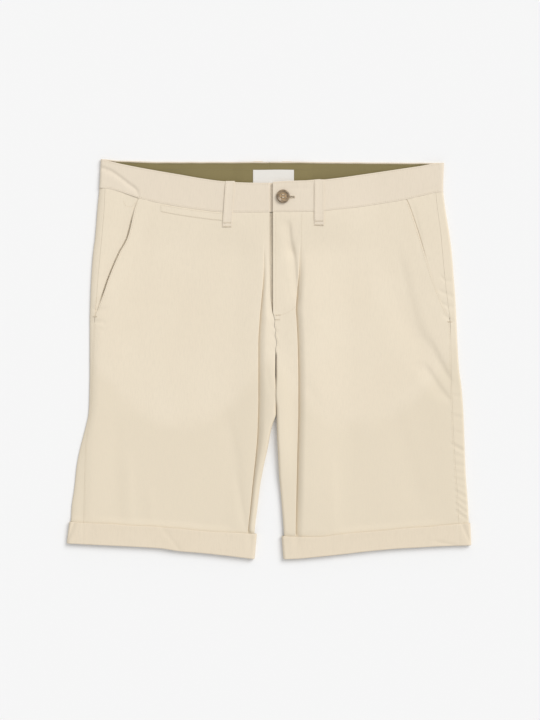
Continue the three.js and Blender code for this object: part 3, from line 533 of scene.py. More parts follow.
def leg_height(side, face, x, y):
    """Top or under face of a leg, rounded together at the outer and, below the crotch, inner fold."""
    high, low = front_level(side, x, y), back_level(side, x, y)
    top = face == "top"
    parted = front_parted(y) if top else back_parted(y)
    inner_x = level[side]["front"](y) + SIGN[side] * (parted * CLOTH / 2 + (slit(y) if top else 0))
    outer_share = round_share(np.abs(outer_fold(side, y) - x), OUTER_ROUND[side] if top else FOLD_ROUND)
    reach = lerp(1.4, FOLD_ROUND, back_parted(y))
    inner_share = lerp(1, round_share(np.abs(x - inner_x), reach), parted)
    meets = np.where(inner_share < outer_share, 0.5, OUTER_MEETS[side])
    kept = np.minimum(outer_share, inner_share)
    split = 0.45 * (1 - inner_share)
    middle = lerp(low, high, meets)
    if top:
        return middle + (high - middle) * kept + split
    return middle - (middle - low) * kept - split


def slit(y):
    """Half the width of the short slit between the fronts above the crotch."""
    return 0.5 * plateau(y, -32, -20, 4, 14)


def back_parted(y):
    """0 where the right and left sides are sewn together, 1 below the crotch."""
    return smooth(-CROTCH, -CROTCH + 25, -np.asarray(y, float))


def front_parted(y):
    """The fronts already sink into the slit between them above the crotch."""
    return np.maximum(back_parted(y), 0.8 * plateau(y, -48, -24, 2, 14) + 0.2 * (1 - smooth(-30, 0, y)))


# ---------- meshes ----------
def make_object(name, vertices, faces, material):
    mesh = bpy.data.meshes.new(name)
    mesh.from_pydata((np.asarray(vertices) * MM).tolist(), [], faces)
    mesh.update()
    mesh.shade_smooth()
    obj = bpy.data.objects.new(name, mesh)
    bpy.context.scene.collection.objects.link(obj)
    mesh.materials.append(material)
    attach(obj, "root")
    return obj


# How the wall closes at a rim: distances in from it and the share of the half thickness kept there.
FREE_RIM = ((0.036, 0.15, 0.36, 0.60), (0.342, 0.661, 0.917, 1.0))
SEWN_RIM = ((0.03, 0.10, 0.20, 0.35), (0.80, 0.92, 0.98, 1.0))


def insert_rims(grid, rims):
    """Adds lines to a grid close to its four edges, at each rim's distances."""
    for axis in (0, 1):
        lines = np.moveaxis(grid, axis, 0)
        first, second = lines[0], lines[1]
        last, before = lines[-1], lines[-2]
        start_step = np.maximum(np.linalg.norm(second - first, axis=-1, keepdims=True), 1e-6)
        end_step = np.maximum(np.linalg.norm(before - last, axis=-1, keepdims=True), 1e-6)
        near, far = rims[2 * axis][0], rims[2 * axis + 1][0]
        head = [first + (second - first) * np.minimum(d / start_step, 0.9 * d / near[-1]) for d in near]
        tail = [last + (before - last) * np.minimum(d / end_step, 0.9 * d / far[-1]) for d in reversed(far)]
        lines = np.concatenate([lines[:1], np.array(head), lines[1:-1], np.array(tail), lines[-1:]])
        grid = np.moveaxis(lines, 0, axis)
    return grid


def grid_normals(grid):
    """Unit normals of a grid's surface at each of its points."""
    along = np.gradient(grid, axis=0)
    across = np.gradient(grid, axis=1)
    normals = np.cross(across, along)
    return normals / np.maximum(np.linalg.norm(normals, axis=-1, keepdims=True), 1e-9)


def shell_mesh(grid, thickness, sewn):
    """A closed wall about a middle surface of rows and columns. Its rims are round, or square and close
    where sewn names them: t and b for the first and last row, i and o for the first and last column."""
    rims = [SEWN_RIM if key in sewn else FREE_RIM for key in "tbio"]
    grid = insert_rims(grid, rims)
    rows, columns = grid.shape[:2]

    def rim_share(count, start, end):
        share = np.ones(count)
        share[:5] = (0, *start[1])
        share[-5:] = (0, *end[1])[::-1]
        return share

    thick = thickness / 2 * np.minimum(
        rim_share(rows, rims[0], rims[1])[:, None], rim_share(columns, rims[2], rims[3])[None, :]
    )
    normals = grid_normals(grid)
    upper = grid + normals * thick[..., None]
    lower = grid - normals * thick[..., None]
    inner = np.zeros((rows, columns), bool)
    inner[1:-1, 1:-1] = True
    count = rows * columns
    top_index = np.arange(count).reshape(rows, columns)
    low_index = top_index.copy()
    low_index[inner] = count + np.arange(inner.sum())
    vertices = np.concatenate([upper.reshape(-1, 3), lower[inner]])

    def quads(index, turn):
        a, b = index[:-1, :-1], index[:-1, 1:]
        c, d = index[1:, 1:], index[1:, :-1]
        order = (a, d, c, b) if turn else (a, b, c, d)
        return np.stack([part.ravel() for part in order], axis=1)

    faces = np.concatenate([quads(top_index, False), quads(low_index, True)])
    return vertices, outward_faces(vertices, faces)


def outward_faces(vertices, faces):
    """The faces as lists, turned so that they look out of the closed shape that they make."""
    a, b, c = vertices[faces[:, 0]], vertices[faces[:, 1]], vertices[faces[:, 2]]
    d = vertices[faces[:, 3]]
    volume = (a * np.cross(b, c)).sum() + (a * np.cross(c, d)).sum()
    return (faces if volume > 0 else faces[:, ::-1]).tolist()


def cloth(name, x, y, z, flat, rests_on, sewn="", thickness=CLOTH, material=None, slot="twill"):
    """The sheet of cloth that a node stands for: flat, its cut's width and length in millimetres, is not
    used.
    """
    grid = np.stack([x, y, z], axis=-1)
    vertices, faces = shell_mesh(grid, thickness, sewn)
    obj = make_object(name, vertices, faces, material or sand)
    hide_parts(name)
    return obj


def lines_beside(line, distances):
    """Columns at fixed distances from a line, which gives x at each y."""
    return [lambda y, d=d: line(y) + d for d in distances]


def lines_between(first, last, shares):
    """Columns at fixed shares of the way from one line to another."""
    return [lambda y, s=s: lerp(first(y), last(y), s) for s in shares]


def path_of(x, y, z):
    """Points of a path from its coordinates, any of which may be one number for all of them."""
    return np.stack(np.broadcast_arrays(x, y, z), axis=1)


def placed(column, upper, lower, t):
    """Where a grid point lies: its y is the share t of the way between two edges at its own x."""
    y = lerp(upper(column(np.zeros_like(t))), lower(column(np.zeros_like(t))), t)
    for _ in range(6):
        x = column(y)
        y = lerp(upper(x), lower(x), t)
    return column(y), y


def column_grid(columns, upper, lower, rows):
    """x and y of every grid point, for columns that are functions of y."""
    placed_columns = [placed(column, upper, lower, rows) for column in columns]
    return (np.stack(part, axis=1) for part in zip(*placed_columns))


def share_grid(down, across):
    """How far down and across a piece every grid point lies, for shares down it and a count across."""
    return np.meshgrid(down, np.linspace(0, 1, across), indexing="ij")


def dense_rows(count, ends=4, reach=0.02):
    """Shares of a length, closer together near both ends."""
    middle = np.linspace(reach, 1 - reach, count)
    edge = np.linspace(0, reach, ends, endpoint=False)
    return np.concatenate([edge, middle, 1 - edge[::-1]])


# ---------- materials ----------
BLACK = (0, 0, 0, 1)
WHITE = (1, 1, 1, 1)


def node_material(name):
    material = bpy.data.materials.new(name)
    material.use_nodes = True
    tree = material.node_tree
    tree.nodes.clear()
    out = tree.nodes.new("ShaderNodeOutputMaterial")
    shader = tree.nodes.new("ShaderNodeBsdfPrincipled")
    tree.links.new(shader.outputs[0], out.inputs[0])
    return material, tree, shader


def fill(tree, node, inputs):
    """Sets each of a node's inputs to its value, or links it where that is another node's socket."""
    for key, value in inputs.items():
        if isinstance(value, bpy.types.NodeSocket):
            tree.links.new(value, node.inputs[key])
        else:
            node.inputs[key].default_value = value
    return node


def add_node(tree, kind, inputs):
    return fill(tree, tree.nodes.new("ShaderNode" + kind), inputs)


def mix_color(tree, factor, first, second):
    node = tree.nodes.new("ShaderNodeMix")
    node.data_type = "RGBA"
    return fill(tree, node, {0: factor, 6: first, 7: second}).outputs[2]


def math_node(tree, operation, first, second):
    node = tree.nodes.new("ShaderNodeMath")
    node.operation = operation
    return fill(tree, node, {0: first, 1: second}).outputs[0]


def noise(tree, coordinates, scale, detail=3.0, roughness=0.5):
    inputs = {"Scale": scale, "Detail": detail, "Roughness": roughness, "Vector": coordinates}
    return add_node(tree, "TexNoise", inputs).outputs["Fac"]


def mapped(tree, angle=0.0, stretch=(1, 1, 1)):
    coordinates = tree.nodes.new("ShaderNodeTexCoord").outputs["Object"]
    inputs = {"Rotation": (0, 0, angle), "Scale": stretch, "Vector": coordinates}
    return add_node(tree, "Mapping", inputs).outputs["Vector"]


def ramp(tree, source, stops):
    node = add_node(tree, "ValToRGB", {"Fac": source})
    for element, stop in zip(node.color_ramp.elements, stops):
        element.position, element.color = stop
    for position, color in stops[2:]:
        node.color_ramp.elements.new(position).color = color
    return node.outputs["Color"]


def wale_waves(tree, angle, period):
    """Diagonal ribs of a twill; period is in metres."""
    return add_node(tree, "TexWave", {
        "Scale": math.pi / 10 / period, "Distortion": 1.2, "Detail": 1.0, "Detail Scale": 0.6,
        "Vector": mapped(tree, angle),
    }).outputs["Fac"]


def bump(tree, shader, layers):
    """Bumps of a shader, one on the other: each layer is a height, its distance and its strength."""
    below = {}
    for height, distance, strength in layers:
        node = add_node(tree, "Bump", {"Height": height, "Distance": distance, "Strength": strength, **below})
        below = {"Normal": node.outputs["Normal"]}
    fill(tree, shader, below)


def darkened(color, share):
    return [c * share for c in color[:3]] + [1]


# Where the painted shade on the lower legs starts, in metres: below a bow across each thigh.
THIGH_MIDDLE = 0.120
BOW_BEND = 6.2
BORDER_RAGGED = 0.030
PAINTED_SHADE_STARTS = -0.088
PAINTED_SHADE_FULL = -0.122


def lower_leg_shade_share(tree):
    """Share of the painted shade: 0 on the hips and thighs, 1 on the lower legs, with a soft, uneven border.
    """
    place = mapped(tree)
    x, y = add_node(tree, "SeparateXYZ", {0: place}).outputs[:2]
    away = math_node(tree, "SUBTRACT", math_node(tree, "ABSOLUTE", x, 0.0), THIGH_MIDDLE)
    bow = math_node(tree, "MULTIPLY", math_node(tree, "MULTIPLY", away, away), BOW_BEND)
    ragged = math_node(tree, "MULTIPLY", noise(tree, place, 22.0), BORDER_RAGGED)
    above = math_node(tree, "SUBTRACT", math_node(tree, "SUBTRACT", y, bow), ragged)
    steps = tree.nodes.new("ShaderNodeMapRange")
    steps.interpolation_type = "SMOOTHSTEP"
    return fill(tree, steps, {
        "Value": above, "From Min": PAINTED_SHADE_FULL, "From Max": PAINTED_SHADE_STARTS, "To Min": 1.0, "To Max": 0.0,
    }).outputs["Result"]


def twill(name, color, deep, angle=1.1, period=0.0006, sheen=0.12, lower=None):
    """Cotton twill: diagonal ribs, slubs along the warp and slow changes of tone from color to deep.
    Where a lower colour is given, the lower legs have it, as painted shade."""
    material, tree, shader = node_material(name)
    broad = noise(tree, mapped(tree), 9.0, 4.0, 0.55)
    slub = noise(tree, mapped(tree, 0.0, (1, 0.12, 1)), 900.0, 2.0)
    fine = noise(tree, mapped(tree), 320.0)
    ribs = wale_waves(tree, angle, period)
    toned = mix_color(tree, ramp(tree, broad, [(0.3, BLACK), (0.7, WHITE)]), color, deep)
    softened = mix_color(tree, 0.55, color, toned)
    # Painted shade: the lower legs are mixed towards the lower colour.
    if lower is not None:
        softened = mix_color(tree, lower_leg_shade_share(tree), softened, lower)
    darker = darkened(color, 0.9)
    in_slubs = ramp(tree, slub, [(0.42, BLACK), (0.8, (0.5, 0.5, 0.5, 1))])
    slubbed = mix_color(tree, in_slubs, softened, darker)
    in_ribs = ramp(tree, ribs, [(0.0, (0.1, 0.1, 0.1, 1)), (0.6, BLACK)])
    fill(tree, shader, {
        "Base Color": mix_color(tree, in_ribs, slubbed, darker), "Roughness": 0.82,
        "Specular IOR Level": 0.25, "Sheen Weight": sheen, "Sheen Roughness": 0.45,
    })
    bump(tree, shader, [(ribs, 0.00010, 0.5), (fine, 0.00025, 0.35), (slub, 0.00008, 0.4)])
    return material


def thread_material(name, color):
    material, tree, shader = node_material(name)
    strands = wale_waves(tree, 0.7, 0.0003)
    shade = mix_color(tree, strands, darkened(color, 0.75), color)
    fill(tree, shader, {"Base Color": shade, "Roughness": 0.6, "Sheen Weight": 0.2})
    bump(tree, shader, [(strands, 0.00005, 0.5)])
    return material


def woven_tape(name, color):
    material, tree, shader = node_material(name)
    weft = noise(tree, mapped(tree, 0.0, (0.1, 1, 1)), 1800.0, 1.0)
    toned = mix_color(tree, noise(tree, mapped(tree), 60.0, 2.0), color, darkened(color, 0.93))
    shade = mix_color(tree, weft, toned, color)
    fill(tree, shader, {"Base Color": shade, "Roughness": 0.55, "Sheen Weight": 0.15})
    bump(tree, shader, [(weft, 0.00006, 0.6)])
    return material


def horn(name):
    """Brown horn: a pale amber dish and a darker clouded rim."""
    material, tree, shader = node_material(name)
    clouds = noise(tree, mapped(tree, 0.4, (1, 2.2, 1)), 260.0, 5.0, 0.6)
    base = ramp(tree, clouds, [
        (0.30, (0.115, 0.075, 0.042, 1)), (0.68, (0.42, 0.30, 0.18, 1)), (0.5, (0.24, 0.17, 0.10, 1)),
    ])
    offset = tree.nodes.new("ShaderNodeVectorMath")
    offset.operation = "DISTANCE"
    place = tree.nodes.new("ShaderNodeTexCoord").outputs["Object"]
    fill(tree, offset, {0: place, 1: (BUTTON_X * MM, BUTTON_Y * MM, BUTTON_BASE * MM)})
    from_centre = math_node(tree, "MULTIPLY", offset.outputs["Value"], 1 / (BUTTON_RADIUS * MM))
    dish = ramp(tree, from_centre, [(0.36, WHITE), (0.68, BLACK)])
    fill(tree, shader, {
        "Base Color": mix_color(tree, dish, base, (0.50, 0.335, 0.175, 1)), "Roughness": 0.3,
        "Coat Weight": 0.3, "Coat Roughness": 0.2,
    })
    return material


BUTTON_BASE = float(waist_level("left", BUTTON_X)) + BAND / 2 + BUTTON_LIFT

# The sand twill's lower colour is painted shade on the lower legs.
sand = twill("sand_twill", (0.830, 0.733, 0.582, 1), (0.800, 0.698, 0.545, 1), lower=(0.786, 0.690, 0.538, 1))
sand_band = twill("sand_twill_band", (0.807, 0.710, 0.576, 1), (0.780, 0.678, 0.540, 1), angle=0.46)
sand_cuff = twill("sand_twill_cuff", (0.796, 0.693, 0.543, 1), (0.770, 0.662, 0.510, 1), angle=-1.1)
olive = twill("olive_twill", (0.253, 0.207, 0.092, 1), (0.222, 0.180, 0.079, 1), period=0.0007, sheen=0.08)
sand_thread = thread_material("sand_thread", (0.79, 0.68, 0.52, 1))
olive_thread = thread_material("olive_thread", (0.30, 0.25, 0.13, 1))
white_tape = woven_tape("white_tape", (0.80, 0.77, 0.72, 1))
button_horn = horn("button_horn")


# ---------- fronts ----------
def panel_top(side, seam="seam"):
    """The line of a panel's upper edge, just below the band."""
    return lambda x: waist[side][seam](x) - WAIST_SEAM


def panel_end(side):
    """The line of a panel's lower edge, inside the cuff and clear of its return."""
    return lambda x: hem[side]["fold"](x) + CUFF_RETURN + 0.7


def front_columns(side):
    """Columns from the inner edge to the long fold and on to the pocket's edge or side seam."""
    at, sign = level[side], SIGN[side]

    def inner(y):
        parted = front_parted(y)
        return at["front"](y) + sign * (slit(y) + CENTRE_GAP / 2 + parted * (CLOTH - CENTRE_GAP) / 2)

    def outer(y):
        return at["opening"](y) - sign * SEAM / 2

    near = 15 if side == "right" else 24
    steps = np.array([0.25, 0.5, 0.75, 1.0, 1.3, 1.8, 2.6, 3.6])
    shares = np.concatenate([[0, 0.004, 0.012, 0.026, 0.05], np.linspace(0.08, 1, near)])
    far = np.concatenate([np.linspace(0, 0.06, 9)[1:], np.linspace(0.06, 1, 88)[1:]])
    by_fold = lines_beside(at["fold"], sign * np.concatenate([-steps[::-1], [0.0], steps]))
    first = lines_between(inner, by_fold[0], shares)
    second = lines_between(by_fold[-1], outer, far)
    return first + by_fold[1:] + second


def gape(side, x, y):
    """The pocket's free edge stands a little off the facing below it."""
    away = np.abs(level[side]["opening"](y) - x)
    return POCKET_GAPE[side] * smooth(-24, 0, -away) * smooth(58, 92, y) * (1 - 0.7 * smooth(165, 215, y))


def front_height(side, x, y):
    return leg_height(side, "top", x, y) + gape(side, x, y)


def make_front(side):
    x, y = column_grid(front_columns(side), panel_top(side), panel_end(side), dense_rows(176))
    z = front_height(side, x, y)
    cloth(f"front_{side}", x + tuck(side, x, y), y, z, (264, 492), [f"back_{side}"], "tio")


# ---------- backs ----------
def make_back(side):
    at, sign = level[side], SIGN[side]

    def fold(y):
        return outer_fold(side, y)

    def inner(y):
        parted = back_parted(y)
        return at["back"](y) + sign * (SEAM / 2 + parted * (CLOTH / 2 - SEAM / 2))

    def strip_end(y):
        return at["seam"](y) + sign * SEAM / 2

    def top_round(inset):
        return lambda y: fold(y) - sign * np.minimum(inset, np.abs(fold(y) - strip_end(y)) * 0.9)

    under = lines_beside(inner, sign * ROUND_INSETS)
    under += lines_between(
        lambda y: inner(y) + sign * FOLD_ROUND, lambda y: fold(y) - sign * FOLD_ROUND,
        np.linspace(0, 1, 44)[1:],
    )
    under += lines_beside(fold, -sign * ROUND_INSETS[::-1][1:])
    top = [top_round(d) for d in ROUND_INSETS[1:]]
    top += lines_between(top_round(FOLD_ROUND), strip_end, np.linspace(0, 1, 15)[1:])

    rows = dense_rows(170)
    x_low, y_low = column_grid(under, panel_top(side, "back_seam"), panel_end(side), rows)
    x_top, y_top = column_grid(top, panel_top(side), panel_end(side), rows)
    z_low = leg_height(side, "under", x_low, y_low)
    z_top = leg_height(side, "top", x_top, y_top)
    x, y, z = (np.concatenate(pair, axis=1) for pair in ((x_low, x_top), (y_low, y_top), (z_low, z_top)))
    cloth(f"back_{side}", x, y, z, (284, 492), ["surface"], "tio")


# ---------- pocket facings ----------
def facing_height(side, x, y):
    """The facing lies flush in the pocket's opening and dives under the front beside it."""
    at, sign = level[side], SIGN[side]
    start = at["seam"](y) - sign * 1.5 * SEAM
    reach = np.abs(at["opening"](y) - start)
    if side == "right":
        across = smooth(0, 1, np.abs(x - start) / np.maximum(4, reach * 0.85))
        across = np.maximum(across, smooth(-96, -78, -y))
        trench = 2.9 * smooth(-3.0, -1.5, x - at["opening"](y)) * plateau(y, 68, 96, 170, 206)
    else:
        across = smooth(-lerp(0.12, 1.6, smooth(128, 165, y)), 0.0, at["opening"](y) - x)
        trench = 0.0
    sunk = (CLOTH + LAP) * across + trench
    return np.maximum(1.5 * CLOTH + LAP, leg_height(side, "top", x, y) - sunk)


def make_pocket_facing(side):
    at, sign = level[side], SIGN[side]

    def start(y):
        return at["seam"](y) - sign * 1.5 * SEAM

    def beside(y, d):
        """A place d outside the opening, or less where the pocket is narrower than that."""
        return at["opening"](y) + sign * d * np.minimum(1, np.abs(start(y) - at["opening"](y)) / 4.5)

    columns = lines_between(start, lambda y: beside(y, 3.4), np.linspace(0, 1, 44))
    columns += [lambda y, d=d: beside(y, d) for d in (3.0, 2.6, 2.2, 1.8, 1.4, 1.0, 0.6, 0.3, 0.12)]
    columns += lines_beside(
        at["opening"], -sign * np.array([0.1, 0.6, 1.5, 3, 6, 10, POCKET_FACING_UNDER])
    )
    x, y = column_grid(columns, panel_top(side), lambda v: POCKET_FACING_END + 0 * v, dense_rows(70))
    z = facing_height(side, x, y)
    cloth(f"pocket_facing_{side}", x, y, z, (70, 172), [f"back_{side}"], "ti")


# ---------- fly shield ----------
def make_fly_shield():
    t, s = share_grid(np.linspace(0, 1, 40), 14)
    y = lerp(197.3, 57, t)
    x = lerp(-1.6, lerp(30, 17, t), s)
    z = front_level("right", np.full_like(y, 1.8), y) - 2.3
    cloth("fly_shield", x, y, z, (32, 141), ["back_right"])


# ---------- waistband ----------
def band_relief(side, x, y):
    """Waviness, tucks and pulls of the band. The right end lies lower, under the left one."""
    total = 0.35 * slack(x * 1.7 + 40, y * 1.7)
    if side == "right":
        away = y - curve(BAND_CORNER["x"], BAND_CORNER["y"])(x)
        total = total - 1.3 * hump(away, np.where(away < 0, 5.0, 1.4)) * plateau(x, -232, -224, -180, -172)
        total = total - 1.7 * plateau(x, 0.4, 1.6, 8, 14)
    else:
        away = y - 229.5
        total = total - 0.28 * hump(away, 1.6) * plateau(x, 14, 22, 52, 62)
        tug = y - (222 + (x - 206) * 0.55)
        total = total - 0.35 * hump(tug, 3.0) * plateau(x, 188, 200, 222, 232)
    seam = waist[side]["seam"](x)
    return total + seam_puckers(x, y, y - seam, 0.10, 5) + seam_puckers(x + 3, y, y - seam - 40, 0.06, 5)


def band_height(side, face, x, y):
    """Top or under face of the band, rounded together at the side."""
    high = waist_level(side, x) + band_relief(side, x, y)
    low = BAND / 2 + back_rise(x, BACK_BAND_Y)
    kept = round_share(np.abs(outer_fold(side, y, BAND) - x), FOLD_ROUND)
    turn = 1 if face == "top" else -1
    return (high + low) / 2 + turn * kept * (high - low) / 2


def make_waistband(side):
    sign = SIGN[side]
    start, width = (UNDERLAP_END, 530) if side == "right" else (TAB_END, 470)
    rows = dense_rows(20, 3, 0.03)
    at = waist[side]
    end_x = sign * BAND_END_X
    parts = []
    for t in rows:
        edge = float(outer_fold(side, lerp(at["seam"](end_x), at["front"](end_x), t), BAND))
        front_x = np.concatenate([
            np.unique(np.concatenate([
                np.linspace(start, edge - sign * FOLD_ROUND, 150 if side == "right" else 120),
                [0.4, 0.7, 1.0, 1.3, 1.6] if side == "right" else [],
            ]))[::sign],
            edge - sign * ROUND_INSETS[::-1][1:],
        ])
        back_x = np.concatenate([
            edge - sign * ROUND_INSETS[1:],
            np.linspace(edge - sign * FOLD_ROUND, sign * SEAM / 2, 100)[1:],
        ])
        front_y = lerp(at["seam"](front_x) + SEAM / 2, at["front"](front_x), t)
        back_y = lerp(at["back_seam"](back_x) + SEAM / 2, at["back"](back_x), t)
        front_z = band_height(side, "top", front_x, front_y)
        back_z = band_height(side, "under", back_x, back_y)
        parts.append(np.concatenate([
            np.stack([front_x, front_y, front_z], axis=-1), np.stack([back_x, back_y, back_z], axis=-1),
        ]))
    x, y, z = np.moveaxis(np.array(parts), -1, 0)
    obj = cloth(f"waistband_{side}", x, y, z, (width, 41), ["surface"], "t", BAND, sand_band)
    if side == "left":
        cut_buttonhole(obj)


def capsule_prism(x_from, x_to, y, width, z_from, z_to, sides=10):
    """Closed upright prism over a slot with round ends, along X."""
    radius = width / 2
    angles = np.linspace(math.pi / 2, 1.5 * math.pi, sides)
    left = np.stack([x_from + radius * np.cos(angles), y + radius * np.sin(angles)], axis=1)
    right = np.stack([x_to - radius * np.cos(angles), y - radius * np.sin(angles)], axis=1)
    outline = np.concatenate([left, right])
    count = len(outline)
    low = np.column_stack([outline, np.full(count, z_from)])
    high = np.column_stack([outline, np.full(count, z_to)])
    faces = [list(range(count))[::-1], list(range(count, 2 * count))]
    faces += [[i, (i + 1) % count, count + (i + 1) % count, count + i] for i in range(count)]
    return np.concatenate([low, high]), faces


def subtract(obj, vertices, faces):
    """Cuts a closed shape, in millimetres, out of an object."""
    mesh = bpy.data.meshes.new("cutter")
    mesh.from_pydata((np.asarray(vertices) * MM).tolist(), [], faces)
    cutter = bpy.data.objects.new("cutter", mesh)
    bpy.context.scene.collection.objects.link(cutter)
    modifier = obj.modifiers.new("cut", "BOOLEAN")
    modifier.operation = "DIFFERENCE"
    modifier.solver = "EXACT"
    modifier.object = cutter
    evaluated = obj.evaluated_get(bpy.context.evaluated_depsgraph_get())
    result = bpy.data.meshes.new_from_object(evaluated)
    obj.modifiers.clear()
    obj.data = result
    bpy.data.objects.remove(cutter)
    bpy.data.meshes.remove(mesh)


def cut_buttonhole(obj):
    slot = capsule_prism(
        *BUTTONHOLE_ENDS, BUTTONHOLE_Y, BUTTONHOLE_WIDTH, BUTTON_BASE - 6, BUTTON_BASE + 2
    )
    subtract(obj, *slot)
    obj.data.set_sharp_from_angle(angle=math.radians(50))


# ---------- waistband facing, rolled edge and label ----------
def facing_level(x):
    """Middle surface of the facing, which lies on the back band."""
    return BAND / 2 + back_rise(x, BACK_BAND_Y) + BAND / 2 + SEAM + TAPE / 2


def make_waistband_facing(side):
    sign = SIGN[side]
    t, s = share_grid(dense_rows(16, 3, 0.04), 110)
    x = lerp(sign * SEAM / 2, FACING_ENDS[side], s)
    y = waist[side]["back"](x) - FACING_EDGE - FACING_HEIGHT * t
    ripple = 0.12 * np.sin(x / 11 + 1.2 * np.sin(x / 29)) * np.sin(y / 8 + x / 60)
    cloth(
        f"waistband_facing_{side}", x, y, facing_level(x) + FACING_GAP + ripple,
        (abs(FACING_ENDS[side]), FACING_HEIGHT), [f"waistband_{side}"], "i", TAPE, olive, "facing",
    )


def ring_faces(rings, sides, base=0):
    """Faces that join a row of rings of points, whose first point is base, with a cap at both ends."""
    faces = []
    for low in range(base, base + (rings - 1) * sides, sides):
        for j in range(sides):
            k = (j + 1) % sides
            faces.append([low + j, low + k, low + sides + k, low + sides + j])
    first, last = range(base, base + sides), range(base + (rings - 1) * sides, base + rings * sides)
    return faces + [list(first)[::-1], list(last)]


def tube(path, radius_across, radius_up, sides=12):
    """Vertices and faces of a closed tube along a path, with flattened round sections."""
    tangent = np.gradient(path, axis=0)
    tangent /= np.linalg.norm(tangent, axis=1, keepdims=True)
    across = np.cross(tangent, [0, 0, 1.0])
    across /= np.maximum(np.linalg.norm(across, axis=1, keepdims=True), 1e-9)
    up = np.cross(across, tangent)
    angles = np.linspace(0, 2 * math.pi, sides, endpoint=False)
    taper = np.ones(len(path))
    taper[[0, -1]] = 0.35
    ring = (
        path[:, None]
        + (across[:, None] * np.cos(angles)[None, :, None] * radius_across
           + up[:, None] * np.sin(angles)[None, :, None] * radius_up) * taper[:, None, None]
    )
    return ring.reshape(-1, 3), ring_faces(len(path), sides)


def make_band_roll(side):
    """The shell's cloth turned over the top of the back band."""
    x = np.linspace(SIGN[side] * SEAM, ROLL_ENDS[side], 120)
    wave = 0.10 * np.sin(x / 6.1 + 1.5 * np.sin(x / 17))
    y = waist[side]["back"](x) - 0.95 + wave
    lift = BAND + back_rise(x, BACK_BAND_Y) + 0.62 + 0.15 * smooth(150, 225, np.abs(x))
    vertices, faces = tube(np.stack([x, y, lift], axis=1), 1.05, 0.62)
    make_object(f"band_roll_{side}", vertices, faces, sand_band)


def make_label():
    t, s = share_grid(np.linspace(0, 1, 14), 34)
    x = lerp(*LABEL_ENDS, s)
    y = lerp(235, 255, t) + 0.15 * np.sin(x / 9)
    bow = 0.35 * np.sin(math.pi * s) * (0.4 + 0.6 * t) * (y > 243)
    z = facing_level(LABEL_MIDDLE) + TAPE + SEAM + LABEL / 2 + 0.5 * bow
    cloth(
        "waist_label", x, y, z, (55.5, 20), ["waistband_facing_right"],
        thickness=LABEL, material=white_tape, slot="label",
    )


# ---------- belt loops ----------
def under_loop(side, x, y):
    """Top of the band or the panel that a loop lies on."""
    on_band = waist_level(side, x) + BAND / 2
    on_panel = front_level(side, x, y) + CLOTH / 2
    return np.where(y > waist[side]["seam"](x), on_band, on_panel)


def loop_point(side, s, t):
    """A place on a front loop: s across from its left edge, t down from its top."""
    row = FRONT_LOOPS[side]
    y = lerp(row["top"][1], row["bottom"][1], t)
    left = lerp(row["top"][0], row["bottom"][0], t)
    middle = left + row["width"] / 2
    bow = 0.12 * plateau(t, 0.02, 0.2, 0.7, 0.93)
    tilt = 0.45 * (1 - smooth(0, 0.5, s)) * plateau(t, 0.03, 0.12, 0.85, 0.93)
    z = np.maximum(under_loop(side, middle, y - 2.5), under_loop(side, middle, y + 2.5))
    return left + row["width"] * s, y, z + 0.03 + LOOP / 2 + bow + tilt


def make_front_loop(side):
    t, s = share_grid(dense_rows(60, 3, 0.02), 14)
    x, y, z = loop_point(side, s, t)
    stitched = 0.18 * (hump(s - 0.14, 0.08) + hump(s - 0.86, 0.08))
    tacked = 0.35 * (hump(t - 0.905, 0.02) + hump(t - 0.99, 0.02))
    cloth(
        f"belt_loop_front_{side}", x, y, z - stitched * 0.3 - tacked * 0.2,
        (FRONT_LOOPS[side]["width"], 63), [f"waistband_{side}"], "o", LOOP, sand_band,
    )


def make_back_loop(side):
    left, top = BACK_LOOPS[side]
    t, s = share_grid(dense_rows(30, 3, 0.02), 10)
    x, y = left + LOOP_WIDTH * s, top - BACK_LOOP_LENGTH * t
    size = (LOOP_WIDTH, BACK_LOOP_LENGTH)
    cloth(f"belt_loop_back_{side}", x, y, np.full_like(x, BACK_LEVEL), size, ["surface"], material=sand_band)


# ---------- coin pocket welt ----------
def welt_point(s, t):
    """A place on the welt: s across from its left end, t down from its top."""
    x = lerp(*WELT_ENDS, s)
    y = waist["right"]["seam"](x) - 0.8 - 10.5 * t
    return x, y, front_level("right", x, y) + CLOTH / 2 + 0.02 + WELT / 2


def make_welt():
    t, s = share_grid(np.linspace(0, 1, 10), 60)
    cloth("coin_pocket_welt", *welt_point(s, t), (83, 10.6), ["front_right"], thickness=WELT)


# ---------- cuffs ----------
def cuff_relief(side, x, y):
    """Small creases in a cuff and the trace of the long folds below it."""
    total = 0.35 * slack(x * 1.4, y * 1.4 + 90)
    for at_x, at_y, slant, depth, width, deepens in CUFF_LINES[side]:
        share = smooth(*deepens, y) if deepens else 1
        total = total - depth * hump(x - at_x - (y - at_y) * slant, width) * share
    if side == "left":
        away = y + 248 + (x - 236) * 0.2
        total = total - 0.5 * hump(away, 2.2) * plateau(x, 216, 228, 250, 260)
    return total


def cuff_section(height):
    """Depth from the outer face and height above the fold, all round the cuff's own section."""
    gap = 0.6
    depth = 2 * CLOTH + gap
    turn = depth / 2
    lip = CLOTH / 2
    bend = np.linspace(0, math.pi, 13)
    hollow = np.linspace(math.pi, 0, 6)
    top_lip = np.linspace(math.pi, 0, 7)
    outer = [(0.0, h) for h in np.linspace(height - lip, turn + 1, 16)]
    around = [(turn - turn * math.cos(a), turn - turn * math.sin(a)) for a in bend]
    back = [(depth - lip + lip * math.cos(a), CUFF_RETURN - lip + lip * math.sin(a)) for a in top_lip[::-1]]
    inside = [(turn - gap / 2 * math.cos(a), turn - gap / 2 * math.sin(a)) for a in hollow]
    up = [(CLOTH, h) for h in np.linspace(turn + 1, height - lip, 12)]
    rim = [(lip + lip * math.cos(a), height - lip + lip * math.sin(a)) for a in top_lip[::-1]]
    return outer + around + back + inside + up + rim[1:-1]


